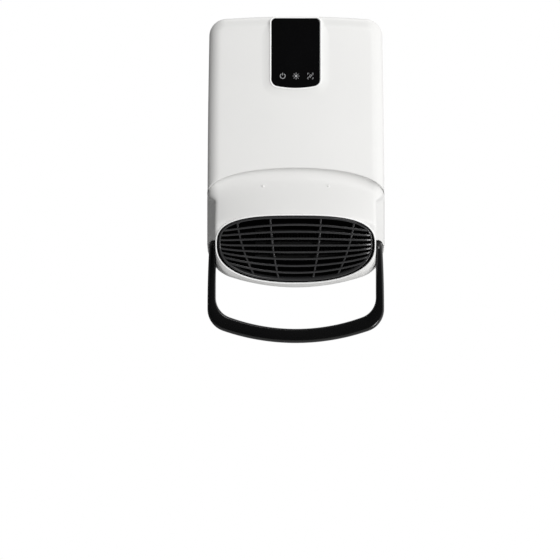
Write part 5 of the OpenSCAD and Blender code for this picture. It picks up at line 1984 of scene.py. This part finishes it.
@dataclass
class BackOfBody:
    """The rear housing, the wall bracket and the mains switch, with their edges softened."""

    form: BodyForm
    housing_round: float = 0.6
    bracket_round: float = 0.35
    screen_in: float = 3.0
    screen_corner: float = 2.0
    screen_depth: Flat = (7.0, 36.5)
    screen_h: Flat = (150.0, 330.0)
    screen_rows: tuple[Flat, ...] = ((0.3, 0.0), (0.0, 0.15), (0.0, 0.45), (0.3, 0.6))
    corner_steps: int = 6
    switch_round: float = 0.4

    def _screen(self, side: float) -> BMesh:
        """Returns one side's dark sheet with round corners, close behind the louvres: painted shade, so that the
        louvres read dark inside.
        """
        low, high = self.screen_h
        near, far = self.screen_depth
        r = self.screen_corner
        corner_places = ((far - r, high - r), (near + r, high - r), (near + r, low + r), (far - r, low + r))
        rings = []
        for inset, shift in self.screen_rows:
            ring = []
            for k, (mid_depth, mid_h) in enumerate(corner_places):
                for i in range(self.corner_steps + 1):
                    a = QUARTER * (k + i / self.corner_steps)
                    depth, h = mid_depth + (r - inset) * math.cos(a), mid_h + (r - inset) * math.sin(a)
                    ring.append(place(side * (self.form.side(h) - self.screen_in - shift), depth, h))
            rings.append(ring)
        return closed_solid(rings)

    def build(self, shop: Workshop) -> None:
        """Replaces the plain solids by softened ones, and sets dark sheets behind the louvres as painted shade."""
        shop.softened("housing_shell", "rear_housing", Slot.SHELL, self.housing_round)
        for side, name in SIDES:
            # Dark sheets behind the louvres: painted shade for the body's inside.
            shop.piece(f"louvre_shade_sheet_{name}", self._screen(side), Slot.DARK)
        shop.softened("bracket_plate", "wall_bracket", Slot.ZINC, self.bracket_round)
        shop.softened("switch_case", "switch_body", Slot.DARK, self.switch_round)
        shop.softened("switch_key", "switch_rocker", Slot.DARK, self.switch_round, Body.ROCKER)


class Interior:
    """The works inside, which keep their solids and get their finishes."""

    def build(self, shop: Workshop) -> None:
        """Dresses every CAD node in the finish of the slot that it carries."""
        for name, node in shop.nodes.items():
            shop.dress(name, Slot(node.data.materials[0].name.split(".")[0]))


# ---------------------------------------------------------------- studio


@dataclass
class Lamp:
    """One softbox."""

    name: str
    at: Triple
    size: tuple[float, float]
    power: float
    aim: Triple = (0.0, -0.05, -0.05)

    def build(self) -> None:
        """Hangs the lamp and turns it to its aim."""
        light = bpy.data.lights.new(self.name, "AREA")
        light.shape = "RECTANGLE"
        light.size, light.size_y = self.size
        light.energy = self.power
        lamp = in_scene(self.name, light)
        lamp.location = self.at
        lamp.rotation_euler = (Vector(self.aim) - Vector(self.at)).to_track_quat("-Z", "Y").to_euler()


class SurroundTree(FinishTree):
    """The node tree of the surround."""

    def __init__(self, tree: bpy.types.NodeTree) -> None:
        """Starts in a world's empty tree."""
        self.tree = tree
        self.coords = self.node("ShaderNodeTexCoord").outputs["Generated"]
        self.path = self.node("ShaderNodeLightPath")

    def ray(self, kind: str) -> Signal:
        """Returns 1 for rays of one kind."""
        return Signal(self, self.path.outputs[kind])

    def facing(self, way: Triple, span: Flat, values: Flat) -> Signal:
        """Returns a soft step between two values, by how far a direction points the given way."""
        dot = self.node("ShaderNodeVectorMath", {"operation": "DOT_PRODUCT"}, {0: self.coords, 1: way})
        return Signal(self, dot.outputs["Value"]).step(*span) * (values[1] - values[0]) + values[0]

    def background(self, strength: Any) -> Any:
        """Returns a white light of some strength."""
        sockets = {"Color": (1.0, 1.0, 1.0), "Strength": strength}
        return self.node("ShaderNodeBackground", None, sockets).outputs[0]

    def mix(self, factor: Signal, a: Any, b: Any) -> Any:
        """Returns a mix of two lights."""
        return self.node("ShaderNodeMixShader", None, {0: factor, 1: a, 2: b}).outputs[0]


@dataclass
class Studio:
    """Camera, soft lamps, a pale floor and a white surround."""

    camera_at: Triple = (0.017, -3.0, -0.2301)
    lens: float = 140.4
    shift: float = -0.0508
    floor_z: float = -1.9
    floor_half: float = 1.6
    dome_azimuth: float = 60.0
    dome_rise: float = 8.0
    dome_low: float = 0.075
    dome_high: float = 0.8
    dome_span: Flat = (-0.3, 0.3)
    behind_span: Flat = (-0.75, -0.1)
    behind_light: Flat = (0.05, 1.0)
    right_span: Flat = (-0.25, 0.35)
    right_light: Flat = (0.15, 1.0)
    sensor_w: float = 36.0
    clip: float = 0.05
    floor_tones: tuple[Colour, Colour] = ((0.86, 0.86, 0.86), (0.82, 0.82, 0.82))
    floor_roughness: float = 0.9
    lamps: tuple[Lamp, ...] = (
        Lamp("key_softbox", (0.8, -1.98, 0.95), (1.1, 1.1), 20.8),
        Lamp("low_softbox", (0.9, -0.95, -1.2), (0.32, 0.32), 5.2),
        Lamp("top_softbox", (0.1, 0.8, 1.75), (1.2, 0.8), 7.5),
    )

    def set_camera(self) -> None:
        """Sets the camera where the photograph was taken from."""
        data = bpy.data.cameras.new("camera")
        data.sensor_width = self.sensor_w
        data.lens = self.lens
        data.shift_x = self.shift
        data.clip_start = self.clip
        camera = in_scene("camera", data)
        camera.location = self.camera_at
        camera.rotation_euler = (QUARTER, 0.0, 0.0)
        bpy.context.scene.camera = camera

    def _world(self) -> None:
        """Makes the surround: white to the camera, a soft dome of light from the right, dark in front."""
        world = bpy.data.worlds.new("studio")
        bpy.context.scene.world = world
        world.use_nodes = True
        world.node_tree.nodes.clear()
        tree = SurroundTree(world.node_tree)
        azimuth, rise = math.radians(self.dome_azimuth), math.radians(self.dome_rise)
        towards = (math.sin(azimuth) * math.cos(rise), -math.cos(azimuth) * math.cos(rise), math.sin(rise))
        dome = tree.background(tree.facing(towards, self.dome_span, (self.dome_low, self.dome_high)))
        behind = tree.facing((0.0, 1.0, 0.0), self.behind_span, self.behind_light)
        right = tree.facing((1.0, 0.0, 0.0), self.right_span, self.right_light)
        mirrored = tree.background(behind * right)
        white = tree.background(1.0)
        lit = tree.mix(tree.ray("Is Glossy Ray").larger(tree.ray("Is Transmission Ray")), dome, mirrored)
        shown = tree.mix(tree.ray("Is Camera Ray"), lit, white)
        tree.node("ShaderNodeOutputWorld", None, {"Surface": shown})

    def _floor(self) -> None:
        """Lays the pale floor, well below the heater."""
        bm = bmesh.new()
        bmesh.ops.create_grid(bm, x_segments=1, y_segments=1, size=self.floor_half)
        bmesh.ops.translate(bm, verts=bm.verts[:], vec=(0.0, 0.0, self.floor_z))
        mesh = bpy.data.meshes.new("floor")
        bm.to_mesh(mesh)
        bm.free()
        tree = FinishTree("floor_paint")
        paint = tree.mixed(tree.noise(3.0, 3.0), *self.floor_tones)
        mesh.materials.append(tree.surface(Base_Color=paint, Roughness=self.floor_roughness))
        in_scene("floor", mesh)

    def build(self) -> None:
        """Sets up the surround, the floor and the lamps."""
        bpy.context.scene.view_settings.view_transform = "Standard"
        self._world()
        self._floor()
        for lamp in self.lamps:
            lamp.build()


def corners(bounds: Any) -> list[list[float]]:
    """Returns a box as plain lists."""
    return [[float(c) for c in corner] for corner in bounds]


def main() -> None:
    """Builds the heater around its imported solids."""
    logging.basicConfig(level=logging.INFO, format="%(name)s: %(message)s")
    studio = Studio()
    studio.set_camera()
    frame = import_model()
    studio.build()
    shop = Workshop(frame)
    form = BodyForm()
    outlet = Outlet(form)
    Interior().build(shop)
    for part in (
        FrontCover(form),
        LowerCover(form, outlet),
        OutletGrille(outlet),
        DisplayPanel(form),
        HangingRail(),
        CoverPlugs(form),
        BackOfBody(form),
    ):
        part.build(shop)
        LOG.info("%s done", type(part).__name__)


if __name__ == "__main__":
    main()
